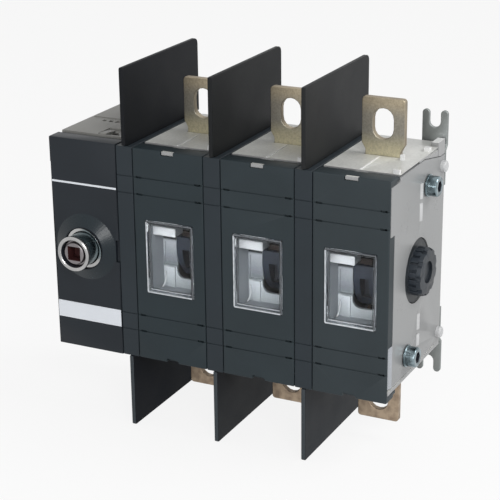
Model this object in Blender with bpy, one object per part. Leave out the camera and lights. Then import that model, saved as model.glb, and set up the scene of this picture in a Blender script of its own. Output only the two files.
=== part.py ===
"""Three-pole load-break disconnect switch with a side-mounted rotary mechanism.

Device frame, in metres: X runs right along the poles, Y runs from the front
face to the mounting plate, Z is up. X is 0 where the mechanism meets pole 1,
Y is 0 on the front faces and Z is 0 on the switching axis. At the end the
whole device is set on the floor, with the middle of its base at the origin.
"""

import math

import bmesh
import bpy
from mathutils import Matrix, Vector

# Layout along the poles
POLE_COUNT = 3
POLE_PITCH = 0.0440
HOLDER_WIDTH = 0.0085
MECHANISM_WIDTH = 0.0353

# Clearances, and how far cutters reach past a face and joined blocks sink into one
FIT = 0.0003
RUNNING_FIT = 0.0004
OVERCUT = 0.0010
BITE = 0.0005

# Heights above and below the switching axis
CASE_HALF_HEIGHT = 0.0502
COVER_STEP = 0.0004
MECHANISM_RISE = 0.0009
MECHANISM_COVER_STEP = 0.0004
BARRIER_REACH = 0.0356
TERMINAL_REACH = 0.0258
FOOT_REACH = 0.0138
LOWER_FOOT_SHIFT = 0.0009

# Depths from the front faces
COVER_DEPTH = 0.0082
COVER_WALL = 0.0020
COVER_SIDE_WALL = 0.0012
FLANGE_WALL = 0.0030
CASE_DEPTH = 0.0660
FOOT_STANDOFF = 0.0040
AXIS_DEPTH = 0.0340
CHAMBER_DEPTH = 0.0175
CASE_WALL = 0.0018
SOFT_EDGE = 0.0005

# Ledge behind a cover's flange, over the shell's front edge
LEDGE_REACH = 0.0030
LEDGE_DROP = 0.0010
LEDGE_THICKNESS = 0.0014

# Lines and slots moulded into the covers, with heights measured from the covers' ends
LINE_INSETS = (0.0135, 0.02145)
LINE_WIDTH = 0.0005
LINE_DEPTH = 0.0004
SLOT_LENGTH = 0.0030
SLOT_HEIGHT = 0.0009
SLOT_INSET = 0.0013
SLOT_DEPTH = 0.0013
COVER_NOTCH = (0.0062, 0.0018)
LATCH_WIDTH = 0.0058
LATCH_FACE = 0.0005
LATCH_REACH = 0.0021
LATCH_DROP = 0.0023
LATCH_TONGUE = 0.0011
LATCH_HEAD = (0.0006, 0.0003)

# Inspection window
WINDOW_MARGIN = 0.00585
WINDOW_HALF_HEIGHT = 0.0173
WINDOW_RIM = 0.0013
WINDOW_PANE = 0.0012
WINDOW_RECESS = 0.0009
WINDOW_PROUD = 0.0002
WINDOW_FLANGE = 0.0011

# Contact chamber seen through the window
CHAMBER_INSET = 0.00485
CHAMBER_TOP = 0.0195
CHAMBER_BOTTOM = 0.0200
CHAMBER_WALL = 0.0015
BLOCK_MARGIN = 0.0070
SHELF_HEIGHTS = (0.0078, 0.0120)
SHELF_REACH = 0.0090
SHELF_GAP = 0.0015
PANEL_HEIGHTS = (-0.0094, 0.0019)
PANEL_GROOVE = (0.0019, 0.0004)
PANEL_RELIEF = 0.0007
PANEL_STEP = 0.0006
PANEL_INSETS = (0.0008, 0.0022)
ROTOR_OPENING = 0.0054
OPENING_CORNER = 0.0036
SIDE_OPENING_MARGIN = 0.0020

# Rotor and moving contact
ROTOR_RADIUS = 0.0180
ROTOR_HALF_WIDTH = 0.0056
ROTOR_RIM = 0.0006
HUB_LENGTH = 0.0020
HUB_RISE = 0.0030
JOURNAL_RADIUS = 0.0066
JOURNAL_ENTRY = 0.0020
JOURNAL_SETBACK = 0.0025
LINK_SIDE = 0.0080
LINK_CHAMFER = 0.0004
LINK_REACH_LEFT = 0.0085
LINK_REACH_RIGHT = 0.0155
KNIFE_THICKNESS = 0.0030
KNIFE_WIDTH = 0.0120
KNIFE_REACH = 0.0060
KNIFE_BEVEL = (0.0025, 0.0008)
ROTOR_SLOT = (0.0042, -0.0102, -0.0006, 0.0060)
SHOULDER_DEPTH = 0.0105
SHOULDER_HEIGHT = 0.0052
ARM_REACH = 0.0164
ARM_HEIGHTS = (0.0056, 0.0083)
ARM_HEAD_LENGTH = 0.0045
ARM_HEAD_WIDTH = 0.0062

# Terminals and fixed contacts
TERMINAL_WIDTH = 0.0200
TERMINAL_THICKNESS = 0.0030
TERMINAL_SET_BACK = 0.0010
TERMINAL_STEP = 0.0018
TERMINAL_NECK_RISE = 0.0058
TERMINAL_ENTRY = 0.0072
TERMINAL_FILLET = 0.0015
TERMINAL_HOLE_WIDTH = 0.0096
TERMINAL_HOLE_HEIGHT = 0.0139
TERMINAL_HOLE_MARGIN = 0.0046
FINGER_THICKNESS = 0.0020
FINGER_GAP = 0.0004
FINGER_HALF_DEPTH = 0.0050
FINGER_CLEARANCE = 0.0006
FINGER_LAP = 0.0030
FINGER_ROUND = 0.0020

# Arc chutes
CHUTE_PLATES = 5
CHUTE_PLATE = 0.0010
CHUTE_CLEARANCE = 0.0010
CHUTE_SILL = 0.0008
CHUTE_HEADROOM = 0.0063
CHUTE_SIDE_GAP = 0.0033
CHUTE_BOARD = 0.0012
CHUTE_GAP = 0.0009

# Phase barriers
BARRIER_THICKNESS = 0.0020
BARRIER_TONGUE = 0.0118
BARRIER_TONGUE_INSET = 0.0019
BARRIER_CORNER = 0.0028
BARRIER_FRONT_CORNER = 0.0008

# Tie bolts
BOLT_RADIUS = 0.0025
BOLT_SWING = 0.0110
BOLT_INSET = 0.0139
BOLT_HEAD_RADIUS = 0.0046
BOLT_HEAD_HEIGHT = 0.0045
BOLT_ROUND = 0.0004
BOLT_FLANGE = (0.0051, 0.0007)
BOLT_SOCKET = (0.0046, 0.0026)
BOLT_TAIL = 0.0075

# Small blocks on top of each pole: inset from its right edge, depth, and size along X, Y and Z
TOP_BLOCKS = (
    (0.0037, 0.0118, (0.0030, 0.0016, 0.0018)),
    (0.0082, 0.0317, (0.0017, 0.0016, 0.0024)),
    (0.0037, 0.0488, (0.0027, 0.0023, 0.0018)),
)
RIDGE_INSET = 0.0009
RIDGE_HALF = 0.0003
RIDGE_RISE = 0.0004
RIDGE_GAP = 0.0020
GROOVE_DEPTH = 0.0007
GROOVE_HEIGHT = 0.0011
REAR_GROOVE = (0.0465, 0.0572)

# Blocks at the back corners of the right side
CORNER_LENGTH = 0.0084
CORNER_WIDTH = 0.0034
CORNER_RISE = 0.0019
CORNER_LINE = 0.0005

# End plate
PLATE_THICKNESS = 0.0018
PLATE_BOTTOM_INSET = 0.0052
PLATE_TOP_INSET = 0.0012
PLATE_FRONT = 0.0012
PLATE_CORNER = 0.0060
PLATE_SLOPE_START = 0.0400
PLATE_SLOPE_INSET = 0.0052
PLATE_SLOPE_DROP = 0.0040
PLATE_BEVEL = (0.0042, 0.0013)
WRAP_HALF_HEIGHT = 0.0250
WRAP_DEPTH = 0.0055
BUMP_RADIUS = 0.0027
BUMP_HEIGHT = 0.0023
BUMP_ROUND = 0.0006
BUMP_INSETS = (0.0030, 0.0101)
RIB_DEPTH = 0.0357
RIB_SIZE = (0.0036, 0.0007)
RIB_INSETS = (((0.0108, 0.0178), (0.0197, 0.0280)), ((0.0134, 0.0190), (0.0212, 0.0289)))
LIP_INSET = 0.0028
LIP_CHAMFER = 0.0031
SEAM_GAP = 0.0007

# Coupling end of the switching shaft
COUPLING_FLANGE_RADIUS = 0.0144
COUPLING_RECESS = 0.0004
COUPLING_RADIUS = 0.0110
COUPLING_TEETH = 10
COUPLING_SLOT = (0.0011, 0.0014)
COUPLING_BODY = 0.0036
COUPLING_REACH = 0.0052
COUPLING_STEP = 0.0006
COUPLING_NOTCH = (0.0026, 0.0012)
COUPLING_CUP = (0.0050, 0.0012)

# Mounting feet
FOOT_WIDTH = 0.0121
FOOT_THICKNESS = 0.0016
FOOT_SLOT = 0.0053
FOOT_SLOT_LENGTH = 0.0080
FOOT_TAIL_INSET = 0.0202
FOOT_JOGGLE_INSET = 0.0042
FOOT_BEND = 0.0006
FOOT_HOLE_RADIUS = 0.0022
CAP_SLACK = 0.00002

# Shell of the mechanism
REAR_STEP = (0.0375, 0.0015, 0.0004)
REAR_SLOTS = 3
REAR_SLOT = (0.0021, 0.0026)
REAR_SLOT_INSET = 0.0087
REAR_SLOT_PITCH = 0.0035
REAR_SLOT_DEPTH = 0.0322
LATCH_POCKET = ((0.0165, 0.0034), (0.0124, 0.0236))
LATCH_POCKET_DEPTH = 0.0009
LATCH_HOLE = ((0.0112, 0.0160), (0.0072, 0.0160), (0.0098, 0.0200), (0.0120, 0.0200))
LATCH_HOLE_DEPTH = 0.0040
SPRUNG_LATCH = (0.0152, 0.0118)
LATCH_RAMP = ((0.0205, -0.0012), (0.0118, -0.0012), (0.0118, 0.0003), (0.0130, 0.0006), (0.0205, -0.0002))

# Operating shaft, on the middle of the mechanism
SHAFT_FRONT = -0.0117
RING_RADIUS = 0.0083
RING_BORE = 0.0065
RING_LENGTH = 0.0016
RING_ROUND = 0.0004
RING_NECK = 0.0006
SLEEVE_RADIUS = 0.0078
SLEEVE_END = 0.0040
SPINDLE_RADIUS = 0.0050
SPINDLE_TIP_RADIUS = 0.0040
SPINDLE_TIP = 0.0032
SOCKET_SIDE = 0.0066
SOCKET_RADIUS = 0.0052
SOCKET_DEPTH = 0.0070
SOCKET_INSET = 0.0009
SOCKET_LIP = 0.0022
BOSS_MARGIN = 0.00175
BOSS_LAND = 0.0005
BOSS_HEIGHT = 0.0027
BOSS_HOLE = 0.0099
COLLAR_FRONT = -0.0011
COLLAR_LAP = 0.0025
COLLAR_BACK = 0.0036
WASHER_FRONT = -0.0020
WASHER_THICKNESS = 0.0006
WASHER_RADIUS = 0.0090
WASHER_WAVE = 0.0007
SIDE_NOTCHES = (0.0009, 0.0017)
SIDE_NOTCH_HALF = 0.0053
SIDE_NOTCH_DEPTH = 0.0016
SIDE_STEP = (0.0004, 0.0120)

# Bevel gears, one to one
GEAR_RADIUS = 0.0100
GEAR_TEETH = 16
GEAR_FACE = 0.0025
GEAR_ADDENDUM = 0.0010
GEAR_DEDENDUM = 0.0013
GEAR_BACK = 0.0125
GEAR_CUP = 0.0008
GEAR_HUB_RADIUS = 0.0059
GEAR_HUB_START = 0.0015
GEAR_HUB_NECK = 0.0080
PIVOT_RADIUS = 0.0041
BEARING_DEPTH = 0.0130
BEARING_THICKNESS = 0.0016
BEARING_HALF_HEIGHT = 0.0260
BEARING_CORNER = 0.0020
SPRING_TURNS = 7
SPRING_STEPS = 14
SPRING_WIRE = 0.0007
SPRING_RADIUS = 0.0036
SPRING_SEAT = 0.0118
SPRING_SET_FORWARD = 0.0065

# Markings on the mechanism cover, left blank
STRIPE_INSET = 0.02055
STRIPE_WIDTH = 0.0009
LABEL_INSETS = (0.0136, 0.0218)
LABEL_THICKNESS = 0.0004
LABEL_MARGINS = (0.0007, 0.0004)
LABEL_GAP = 0.00018

# Sizes that follow from the values above
COVER_HALF_HEIGHT = CASE_HALF_HEIGHT + COVER_STEP
BARRIER_HALF_HEIGHT = COVER_HALF_HEIGHT + BARRIER_REACH
TERMINAL_HALF_HEIGHT = CASE_HALF_HEIGHT + TERMINAL_REACH
TERMINAL_TAIL = CASE_HALF_HEIGHT - TERMINAL_ENTRY
TERMINAL_NECK = TERMINAL_WIDTH - 2 * TERMINAL_STEP
TERMINAL_DEPTH = AXIS_DEPTH + TERMINAL_SET_BACK
MOUNT_DEPTH = CASE_DEPTH + FOOT_STANDOFF
LEDGE_BACK = COVER_DEPTH + LEDGE_REACH
LEDGE_BOTTOM = COVER_HALF_HEIGHT - LEDGE_DROP - LEDGE_THICKNESS
PLATE_TOP = CASE_HALF_HEIGHT - PLATE_TOP_INSET
PLATE_BOTTOM = CASE_HALF_HEIGHT - PLATE_BOTTOM_INSET
KNIFE_RADIUS = ROTOR_RADIUS + KNIFE_REACH
BOLT_HEIGHT = CASE_HALF_HEIGHT - BOLT_INSET
COLLAR_RADIUS = BOSS_HOLE - FIT
POLE_CENTRE = HOLDER_WIDTH + (POLE_PITCH - HOLDER_WIDTH) / 2
SHAFT_X = -MECHANISM_WIDTH / 2
SWITCH_RIGHT = POLE_COUNT * POLE_PITCH


def clear_scene():
    """Remove every object, so the script can be run again."""
    for old in list(bpy.data.objects):
        bpy.data.objects.remove(old, do_unlink=True)


def finish(name, colour, roughness, metallic=0.0, transmission=0.0):
    """A Principled material."""
    made = bpy.data.materials.new(name)
    made.use_nodes = True
    shader = made.node_tree.nodes["Principled BSDF"]
    shader.inputs["Base Color"].default_value = (*colour, 1.0)
    shader.inputs["Roughness"].default_value = roughness
    shader.inputs["Metallic"].default_value = metallic
    shader.inputs["Transmission Weight"].default_value = transmission
    made.diffuse_color = (*colour, 1.0)
    return made


def as_object(name, bm):
    """Turn a bmesh into a linked object with its faces pointing out."""
    bmesh.ops.recalc_face_normals(bm, faces=bm.faces)
    mesh = bpy.data.meshes.new(name)
    bm.to_mesh(mesh)
    bm.free()
    made = bpy.data.objects.new(name, mesh)
    bpy.context.scene.collection.objects.link(made)
    return made


def point_on(axis, along, u, v):
    """A point at `along` on an axis, with u and v on the two other axes in X, Y, Z order."""
    if axis == "X":
        return (along, u, v)
    if axis == "Y":
        return (u, along, v)
    return (u, v, along)


def box(x, y, z, soft=0.0, steps=2):
    """A block between pairs of coordinates, with its edges rounded by `soft`."""
    bm = bmesh.new()
    bmesh.ops.create_cube(bm, size=1.0)
    size = Vector((x[1] - x[0], y[1] - y[0], z[1] - z[0]))
    middle = Vector(((x[0] + x[1]) / 2, (y[0] + y[1]) / 2, (z[0] + z[1]) / 2))
    bmesh.ops.scale(bm, vec=size, verts=bm.verts)
    bmesh.ops.translate(bm, vec=middle, verts=bm.verts)
    if soft:
        bmesh.ops.bevel(bm, geom=bm.edges[:], offset=soft, segments=steps, affect="EDGES", profile=0.5)
    return as_object("block", bm)


def prism(axis, outline, start, end):
    """Extrude a flat outline along an axis."""
    bm = bmesh.new()
    face = bm.faces.new([bm.verts.new(point_on(axis, start, u, v)) for u, v in outline])
    raised = bmesh.ops.extrude_face_region(bm, geom=[face])
    moved = [item for item in raised["geom"] if isinstance(item, bmesh.types.BMVert)]
    bmesh.ops.translate(bm, vec=Vector(point_on(axis, end - start, 0, 0)), verts=moved)
    return as_object("prism", bm)


def arc(centre, radius, start, end, steps):
    """Points on an arc, angles in degrees."""
    return [
        (
            centre[0] + radius * math.cos(math.radians(start + (end - start) * i / steps)),
            centre[1] + radius * math.sin(math.radians(start + (end - start) * i / steps)),
        )
        for i in range(steps + 1)
    ]


def rounded(u, v, radii, steps=4):
    """A rectangle whose corners (low low, high low, high high, low high) are rounded."""
    corners = ((u[0], v[0], 180), (u[1], v[0], 270), (u[1], v[1], 0), (u[0], v[1], 90))
    outline = []
    for (cu, cv, turn), radius in zip(corners, radii):
        if radius == 0:
            outline.append((cu, cv))
            continue
        inward_u = radius if cu == u[0] else -radius
        inward_v = radius if cv == v[0] else -radius
        outline += arc((cu + inward_u, cv + inward_v), radius, turn, turn + 90, steps)
    return outline


def obround(centre, width, height, steps=8):
    """A slot outline with round ends, standing upright."""
    radius = width / 2
    rise = height / 2 - radius
    upper = arc((centre[0], centre[1] + rise), radius, 0, 180, steps)
    lower = arc((centre[0], centre[1] - rise), radius, 180, 360, steps)
    return upper + lower


def turned(axis, centre, profile, segments=40):
    """Turn a profile of (along, radius) points about an axis; a zero radius closes an end flat."""
    bm = bmesh.new()
    rings = []
    for along, radius in profile:
        if radius:
            rings.append([
                bm.verts.new(point_on(
                    axis, along,
                    centre[0] + radius * math.cos(2 * math.pi * i / segments),
                    centre[1] + radius * math.sin(2 * math.pi * i / segments),
                ))
                for i in range(segments)
            ])
    pairs = list(zip(rings, rings[1:]))
    if profile[0][1]:
        pairs.append((rings[-1], rings[0]))
    else:
        bm.faces.new(rings[0])
        bm.faces.new(rings[-1])
    for first, second in pairs:
        for i in range(segments):
            j = (i + 1) % segments
            bm.faces.new((first[i], second[i], second[j], first[j]))
    return as_object("turned", bm)


def rod(axis, centre, radius, start, end, segments=32):
    """A plain cylinder along an axis."""
    return turned(axis, centre, [(start, 0), (start, radius), (end, radius), (end, 0)], segments)


def apply_tool(target, tool, operation):
    """Apply one Boolean to the target and remove the tool."""
    modifier = target.modifiers.new(operation.lower(), "BOOLEAN")
    modifier.object = tool
    modifier.operation = operation
    modifier.solver = "EXACT"
    graph = bpy.context.evaluated_depsgraph_get()
    result = bpy.data.meshes.new_from_object(target.evaluated_get(graph))
    target.modifiers.clear()
    old = target.data
    target.data = result
    bpy.data.meshes.remove(old)
    bpy.data.objects.remove(tool, do_unlink=True)


def cut(target, *tools):
    """Take the tools out of the target."""
    for tool in tools:
        apply_tool(target, tool, "DIFFERENCE")
    return target


def fuse(target, *tools):
    """Join the tools to the target."""
    for tool in tools:
        apply_tool(target, tool, "UNION")
    return target


def smooth_round(target, angle=35.0):
    """Shade the round faces smooth and keep the corners sharp."""
    target.data.shade_smooth()
    target.data.set_sharp_from_angle(angle=math.radians(angle))


def place(solid, name, material, parent, offset=(0.0, 0.0, 0.0)):
    """Name a solid, give it its material and hang it on its parent."""
    solid.name = name
    solid.data.name = name
    solid.data.materials.clear()
    solid.data.materials.append(material)
    smooth_round(solid)
    settle(solid, parent, offset)
    return solid


def settle(solid, parent, offset):
    """Parent an object so that its device-frame mesh is moved by the offset only."""
    solid.parent = parent
    solid.location = Vector(offset) - joint_place(parent)


def joint_place(parent):
    """Where a parent empty stands in the device frame."""
    return Vector((0, 0, 0)) if parent.parent is None else parent.location.copy()


def repeat(source, names, offsets):
    """Copies of a placed solid that share its mesh, moved by further offsets."""
    for name, offset in zip(names, offsets):
        copy = bpy.data.objects.new(name, source.data)
        bpy.context.scene.collection.objects.link(copy)
        copy.parent = source.parent
        copy.location = source.location + Vector(offset)


def mirrored(source, middle=0.0):
    """A copy of a solid turned upside down about the height `middle`."""
    bm = bmesh.new()
    bm.from_mesh(source.data)
    bmesh.ops.scale(bm, vec=Vector((1, 1, -1)), verts=bm.verts)
    bmesh.ops.translate(bm, vec=Vector((0, 0, 2 * middle)), verts=bm.verts)
    return as_object("mirrored", bm)


def empty(name, parent=None, location=(0, 0, 0)):
    """An empty that carries other objects."""
    made = bpy.data.objects.new(name, None)
    bpy.context.scene.collection.objects.link(made)
    made.parent = parent
    made.location = location
    return made


def pole_offsets():
    """Steps from the first pole to the others."""
    return [(k * POLE_PITCH, 0, 0) for k in range(1, POLE_COUNT)]


def numbered(stem, first=2):
    """Names of the repeated pieces after the first."""
    return [f"{stem}_{k}" for k in range(first, POLE_COUNT + 1)]


def square_bar(centre, side, start, end):
    """A square bar along X."""
    half = side / 2
    return box((start, end), (centre[0] - half, centre[0] + half), (centre[1] - half, centre[1] + half))


def both_ways(low, high):
    """The span from low to high, and the same span upside down."""
    return ((low, high), (-high, -low))


def line_heights():
    """Heights of the moulded lines across the covers."""
    return [sign * (COVER_HALF_HEIGHT - inset) for inset in LINE_INSETS for sign in (1, -1)]


def line_cutters(left, right):
    """Shallow lines across a front face."""
    return [
        box((left, right), (-OVERCUT, LINE_DEPTH), (height - LINE_WIDTH / 2, height + LINE_WIDTH / 2))
        for height in line_heights()
    ]


def bolt_places():
    """Depth and height of the two tie bolts."""
    return (
        (AXIS_DEPTH + BOLT_SWING - FIT, BOLT_HEIGHT),
        (AXIS_DEPTH - BOLT_SWING - FIT, -BOLT_HEIGHT),
    )


def bolt_holes(start, end):
    """Clearance holes for the tie bolts."""
    return [rod("X", place_, BOLT_RADIUS + RUNNING_FIT, start, end, 20) for place_ in bolt_places()]


def shaft_hole(start, end, radius=JOURNAL_RADIUS + RUNNING_FIT):
    """A hole on the switching axis."""
    return rod("X", (AXIS_DEPTH, 0), radius, start, end, 40)


def build_holder():
    """The dark spacer between poles, with slots for the phase barriers."""
    left, right = FIT / 2, HOLDER_WIDTH - FIT / 2
    middle = HOLDER_WIDTH / 2
    holder = box((left, right), (0, CASE_DEPTH), (-COVER_HALF_HEIGHT, COVER_HALF_HEIGHT), SOFT_EDGE / 2, 1)
    half_slot = BARRIER_THICKNESS / 2 + FIT
    inset = BARRIER_TONGUE_INSET - FIT
    for ends in both_ways(COVER_HALF_HEIGHT - BARRIER_TONGUE - FIT, COVER_HALF_HEIGHT + OVERCUT):
        cut(holder, box((middle - half_slot, middle + half_slot), (inset, CASE_DEPTH - inset), ends))
    cut(holder, *line_cutters(-OVERCUT, HOLDER_WIDTH + OVERCUT))
    cut(holder, shaft_hole(-OVERCUT, HOLDER_WIDTH + OVERCUT))
    cut(holder, *bolt_holes(-OVERCUT, HOLDER_WIDTH + OVERCUT))
    return holder


def window_span(extra=0.0):
    """Left and right of the window in the first pole."""
    half = (POLE_PITCH - HOLDER_WIDTH) / 2 - WINDOW_MARGIN + extra
    return (POLE_CENTRE - half, POLE_CENTRE + half)


def ledges(left, right, top):
    """The thin ledges behind the flanges at a cover's top and bottom end."""
    surface = top - LEDGE_DROP
    return [
        box((left + FIT, right - FIT), (COVER_DEPTH - BITE, LEDGE_BACK), span)
        for span in both_ways(surface - LEDGE_THICKNESS, surface)
    ]


def build_cover():
    """The dark front cover of one pole."""
    left, right = HOLDER_WIDTH + FIT / 2, POLE_PITCH - FIT / 2
    top = COVER_HALF_HEIGHT
    back = LEDGE_BACK + OVERCUT
    cover = box((left, right), (0, COVER_DEPTH), (-top, top), SOFT_EDGE)
    inner_left, inner_right = left + COVER_SIDE_WALL, POLE_PITCH - PLATE_THICKNESS - FIT
    inner_top = top - FLANGE_WALL
    cut(cover, box((inner_left, inner_right), (COVER_WALL, back), (-inner_top, inner_top)))
    side = (inner_right - BITE, right + OVERCUT)
    for span in both_ways(WRAP_HALF_HEIGHT, inner_top):
        cut(cover, box(side, (PLATE_FRONT - FIT, back), span))
    cut(cover, box(side, (WRAP_DEPTH, back), (-WRAP_HALF_HEIGHT - BITE, WRAP_HALF_HEIGHT + BITE)))
    fuse(cover, *ledges(left, right, top))
    opening = FIT * 0.8
    half = WINDOW_HALF_HEIGHT + opening
    cut(cover, prism(
        "Y", rounded(window_span(opening), (-half, half), [SOFT_EDGE] * 4, 2), -OVERCUT, COVER_WALL + OVERCUT,
    ))
    cut(cover, *line_cutters(left - OVERCUT, right + OVERCUT))
    for height in line_heights():
        for start in (left + SLOT_INSET, right - SLOT_INSET - SLOT_LENGTH):
            cut(cover, box(
                (start, start + SLOT_LENGTH), (-OVERCUT, SLOT_DEPTH),
                (height - SLOT_HEIGHT / 2, height + SLOT_HEIGHT / 2),
            ))
    cut_cover_notches(cover, top, back)
    return cover


def cut_cover_notches(cover, top, back):
    """The notch at the cover's lower end and the way for the shell's latch at its upper end."""
    notch, rise = COVER_NOTCH
    cut(cover, prism(
        "Y",
        [
            (POLE_CENTRE - notch / 2, -top - OVERCUT),
            (POLE_CENTRE + notch / 2, -top - OVERCUT),
            (POLE_CENTRE + notch / 2, -top + rise * 0.5),
            (POLE_CENTRE + notch / 2 - rise, -top + rise),
            (POLE_CENTRE - notch / 2, -top + rise),
        ],
        -OVERCUT, COVER_WALL + BITE,
    ))
    latch = LATCH_WIDTH / 2 + FIT
    span = (POLE_CENTRE - latch, POLE_CENTRE + latch)
    under = top - LATCH_DROP
    cut(cover, box(span, (-OVERCUT, LATCH_REACH + FIT), (under + FIT, top + OVERCUT)))
    cut(cover, box(span, (LATCH_FACE + FIT, back), (under - FIT, under + LATCH_TONGUE + 2 * FIT)))


def build_window():
    """The clear moulded window, held by a flange behind the cover."""
    outer = window_span()
    half = WINDOW_HALF_HEIGHT
    flange_half = half + WINDOW_FLANGE
    back = COVER_WALL + FIT + WINDOW_FLANGE
    window = prism("Y", rounded(outer, (-half, half), [SOFT_EDGE] * 4, 2), -WINDOW_PROUD, back)
    flange = prism(
        "Y",
        rounded(window_span(WINDOW_FLANGE), (-flange_half, flange_half), [SOFT_EDGE] * 4, 2),
        COVER_WALL + FIT, back,
    )
    fuse(window, flange)
    pane = half - WINDOW_RIM
    inner = rounded((outer[0] + WINDOW_RIM, outer[1] - WINDOW_RIM), (-pane, pane), [SOFT_EDGE] * 4, 2)
    cut(window, prism("Y", inner, -OVERCUT, WINDOW_RECESS))
    cut(window, prism("Y", inner, WINDOW_RECESS + WINDOW_PANE, back + OVERCUT))
    return window


def case_outline(left, seam, edge):
    """A pole's shell seen from the front, with the step for the end plate and the lip below it."""
    top = CASE_HALF_HEIGHT
    lip_top = -PLATE_BOTTOM - SEAM_GAP
    return [
        (left, -top), (edge - LIP_CHAMFER, -top), (edge, -top + LIP_INSET), (edge, lip_top), (seam, lip_top),
        (seam, PLATE_TOP + FIT), (edge, PLATE_TOP + FIT), (edge, top), (left, top),
    ]


def build_case():
    """The light grey shell of one pole, with the contact chamber behind its window."""
    left = HOLDER_WIDTH + FIT / 2
    seam = POLE_PITCH - PLATE_THICKNESS - 2 * FIT
    edge = POLE_PITCH - FIT / 2
    top, front = CASE_HALF_HEIGHT, COVER_DEPTH + FIT
    case = prism("Y", case_outline(left, seam, edge), front, CASE_DEPTH)
    block_half = CHAMBER_BOTTOM + BLOCK_MARGIN
    block_front = COVER_WALL + WINDOW_FLANGE + 3 * FIT
    block = (left + COVER_SIDE_WALL + FIT, seam)
    fuse(case, box(block, (block_front, front + BITE), (-block_half, block_half)))
    shelf = LEDGE_BACK + FIT
    inside = (left + CASE_WALL, seam - CASE_WALL)
    tall = top - CASE_WALL
    wall_back = CHAMBER_DEPTH + CHAMBER_WALL
    cut(case, box(inside, (wall_back, CASE_DEPTH - CASE_WALL), (-tall, tall)))
    pocket = block_half + CASE_WALL
    for deep, low in zip(both_ways(pocket, tall), both_ways(pocket, LEDGE_BOTTOM - FIT - CASE_WALL)):
        cut(case, box(inside, (shelf + CASE_WALL, wall_back + BITE), deep))
        cut(case, box(inside, (front + CASE_WALL, shelf + CASE_WALL + BITE), low))
    for span in both_ways(LEDGE_BOTTOM - FIT, top + OVERCUT):
        cut(case, box((left - OVERCUT, edge + OVERCUT), (front - OVERCUT, shelf), span))
    open_side = (-PLATE_BOTTOM + SIDE_OPENING_MARGIN, PLATE_TOP - PLATE_SLOPE_DROP - SIDE_OPENING_MARGIN)
    cut(case, box(
        (inside[1] - OVERCUT, seam + OVERCUT),
        (wall_back + SIDE_OPENING_MARGIN, CASE_DEPTH - CASE_WALL - SIDE_OPENING_MARGIN), open_side,
    ))
    cut_chamber(case, wall_back)
    cut(case, shaft_hole(left - OVERCUT, left + CASE_WALL + OVERCUT))
    neck = TERMINAL_NECK / 2 + FIT
    for span in both_ways(tall - OVERCUT, top + OVERCUT):
        cut(case, box(
            (POLE_CENTRE - neck, POLE_CENTRE + neck),
            (TERMINAL_DEPTH - FIT, TERMINAL_DEPTH + TERMINAL_THICKNESS + FIT), span,
        ))
    add_plate_seat(case, seam, edge, front)
    cut(case, *bolt_holes(left - OVERCUT, edge + OVERCUT))
    add_case_trim(case, edge, top, shelf)
    return case


def cut_chamber(case, wall_back):
    """The contact chamber, with the opening that the drum turns in."""
    chamber_left = HOLDER_WIDTH + CHAMBER_INSET
    chamber_right = 2 * POLE_CENTRE - chamber_left
    cut(case, box((chamber_left, chamber_right), (-OVERCUT, CHAMBER_DEPTH), (-CHAMBER_BOTTOM, CHAMBER_TOP)))
    add_chamber_relief(case, chamber_left)
    half = ROTOR_HALF_WIDTH + RUNNING_FIT
    crossing = math.sqrt(max(ROTOR_RADIUS ** 2 - (AXIS_DEPTH - wall_back) ** 2, 0.0))
    opening = rounded(
        (POLE_CENTRE - half, POLE_CENTRE + half), (-crossing - ROTOR_OPENING, CHAMBER_TOP + PANEL_STEP),
        [OPENING_CORNER] * 2 + [FINGER_ROUND] * 2, 6,
    )
    cut(case, prism("Y", opening, CHAMBER_DEPTH - CHAMBER_WALL, wall_back + BITE))


def add_chamber_relief(case, chamber_left):
    """The shelf and the raised panels on the chamber's back wall."""
    back = CHAMBER_DEPTH + PANEL_RELIEF
    shelf = (chamber_left - BITE, POLE_CENTRE - SHELF_GAP)
    fuse(case, box(shelf, (CHAMBER_DEPTH - SHELF_REACH, back), SHELF_HEIGHTS, FIT, 1))
    upper, lower = PANEL_INSETS
    panel_right = POLE_CENTRE - ROTOR_HALF_WIDTH
    recess = (chamber_left + upper, panel_right)
    cut(case, box(recess, (CHAMBER_DEPTH - OVERCUT, back), PANEL_HEIGHTS))
    groove, deeper = PANEL_GROOVE
    cut(case, box(
        recess, (CHAMBER_DEPTH - OVERCUT, back + deeper), (PANEL_HEIGHTS[0], PANEL_HEIGHTS[0] + groove),
    ))
    low = (-CHAMBER_BOTTOM - BITE, PANEL_HEIGHTS[0] - PANEL_STEP)
    fuse(case, box(
        (chamber_left + lower, panel_right - 2 * PANEL_STEP), (CHAMBER_DEPTH - PANEL_RELIEF, back), low,
    ))


def add_plate_seat(case, seam, edge, front):
    """The fill above the end plate's sloping edge, and the lip that runs on under the plate's front."""
    start, end = PLATE_SLOPE_START + FIT, CASE_DEPTH - PLATE_SLOPE_INSET
    low = PLATE_TOP - PLATE_SLOPE_DROP + FIT
    high = CASE_HALF_HEIGHT - SOFT_EDGE
    wedge = [(start, PLATE_TOP + FIT), (end, low), (CASE_DEPTH, low), (CASE_DEPTH, high), (start, high)]
    fuse(case, prism("X", wedge, seam - BITE, edge))
    lip_top = -PLATE_BOTTOM - SEAM_GAP
    lip = (-(COVER_HALF_HEIGHT - FLANGE_WALL - FIT), lip_top)
    fuse(case, box((seam + 2 * FIT, edge), (PLATE_FRONT, front + OVERCUT), lip))
    corner = (CASE_DEPTH - PLATE_CORNER, -PLATE_BOTTOM + PLATE_CORNER)
    post = [(min(y, CASE_DEPTH), z) for y, z in arc(corner, PLATE_CORNER + FIT, 270, 350, 6)]
    post += [(CASE_DEPTH, lip_top - BITE), (corner[0], lip_top - BITE)]
    fuse(case, prism("X", post, seam - BITE, edge))


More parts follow.
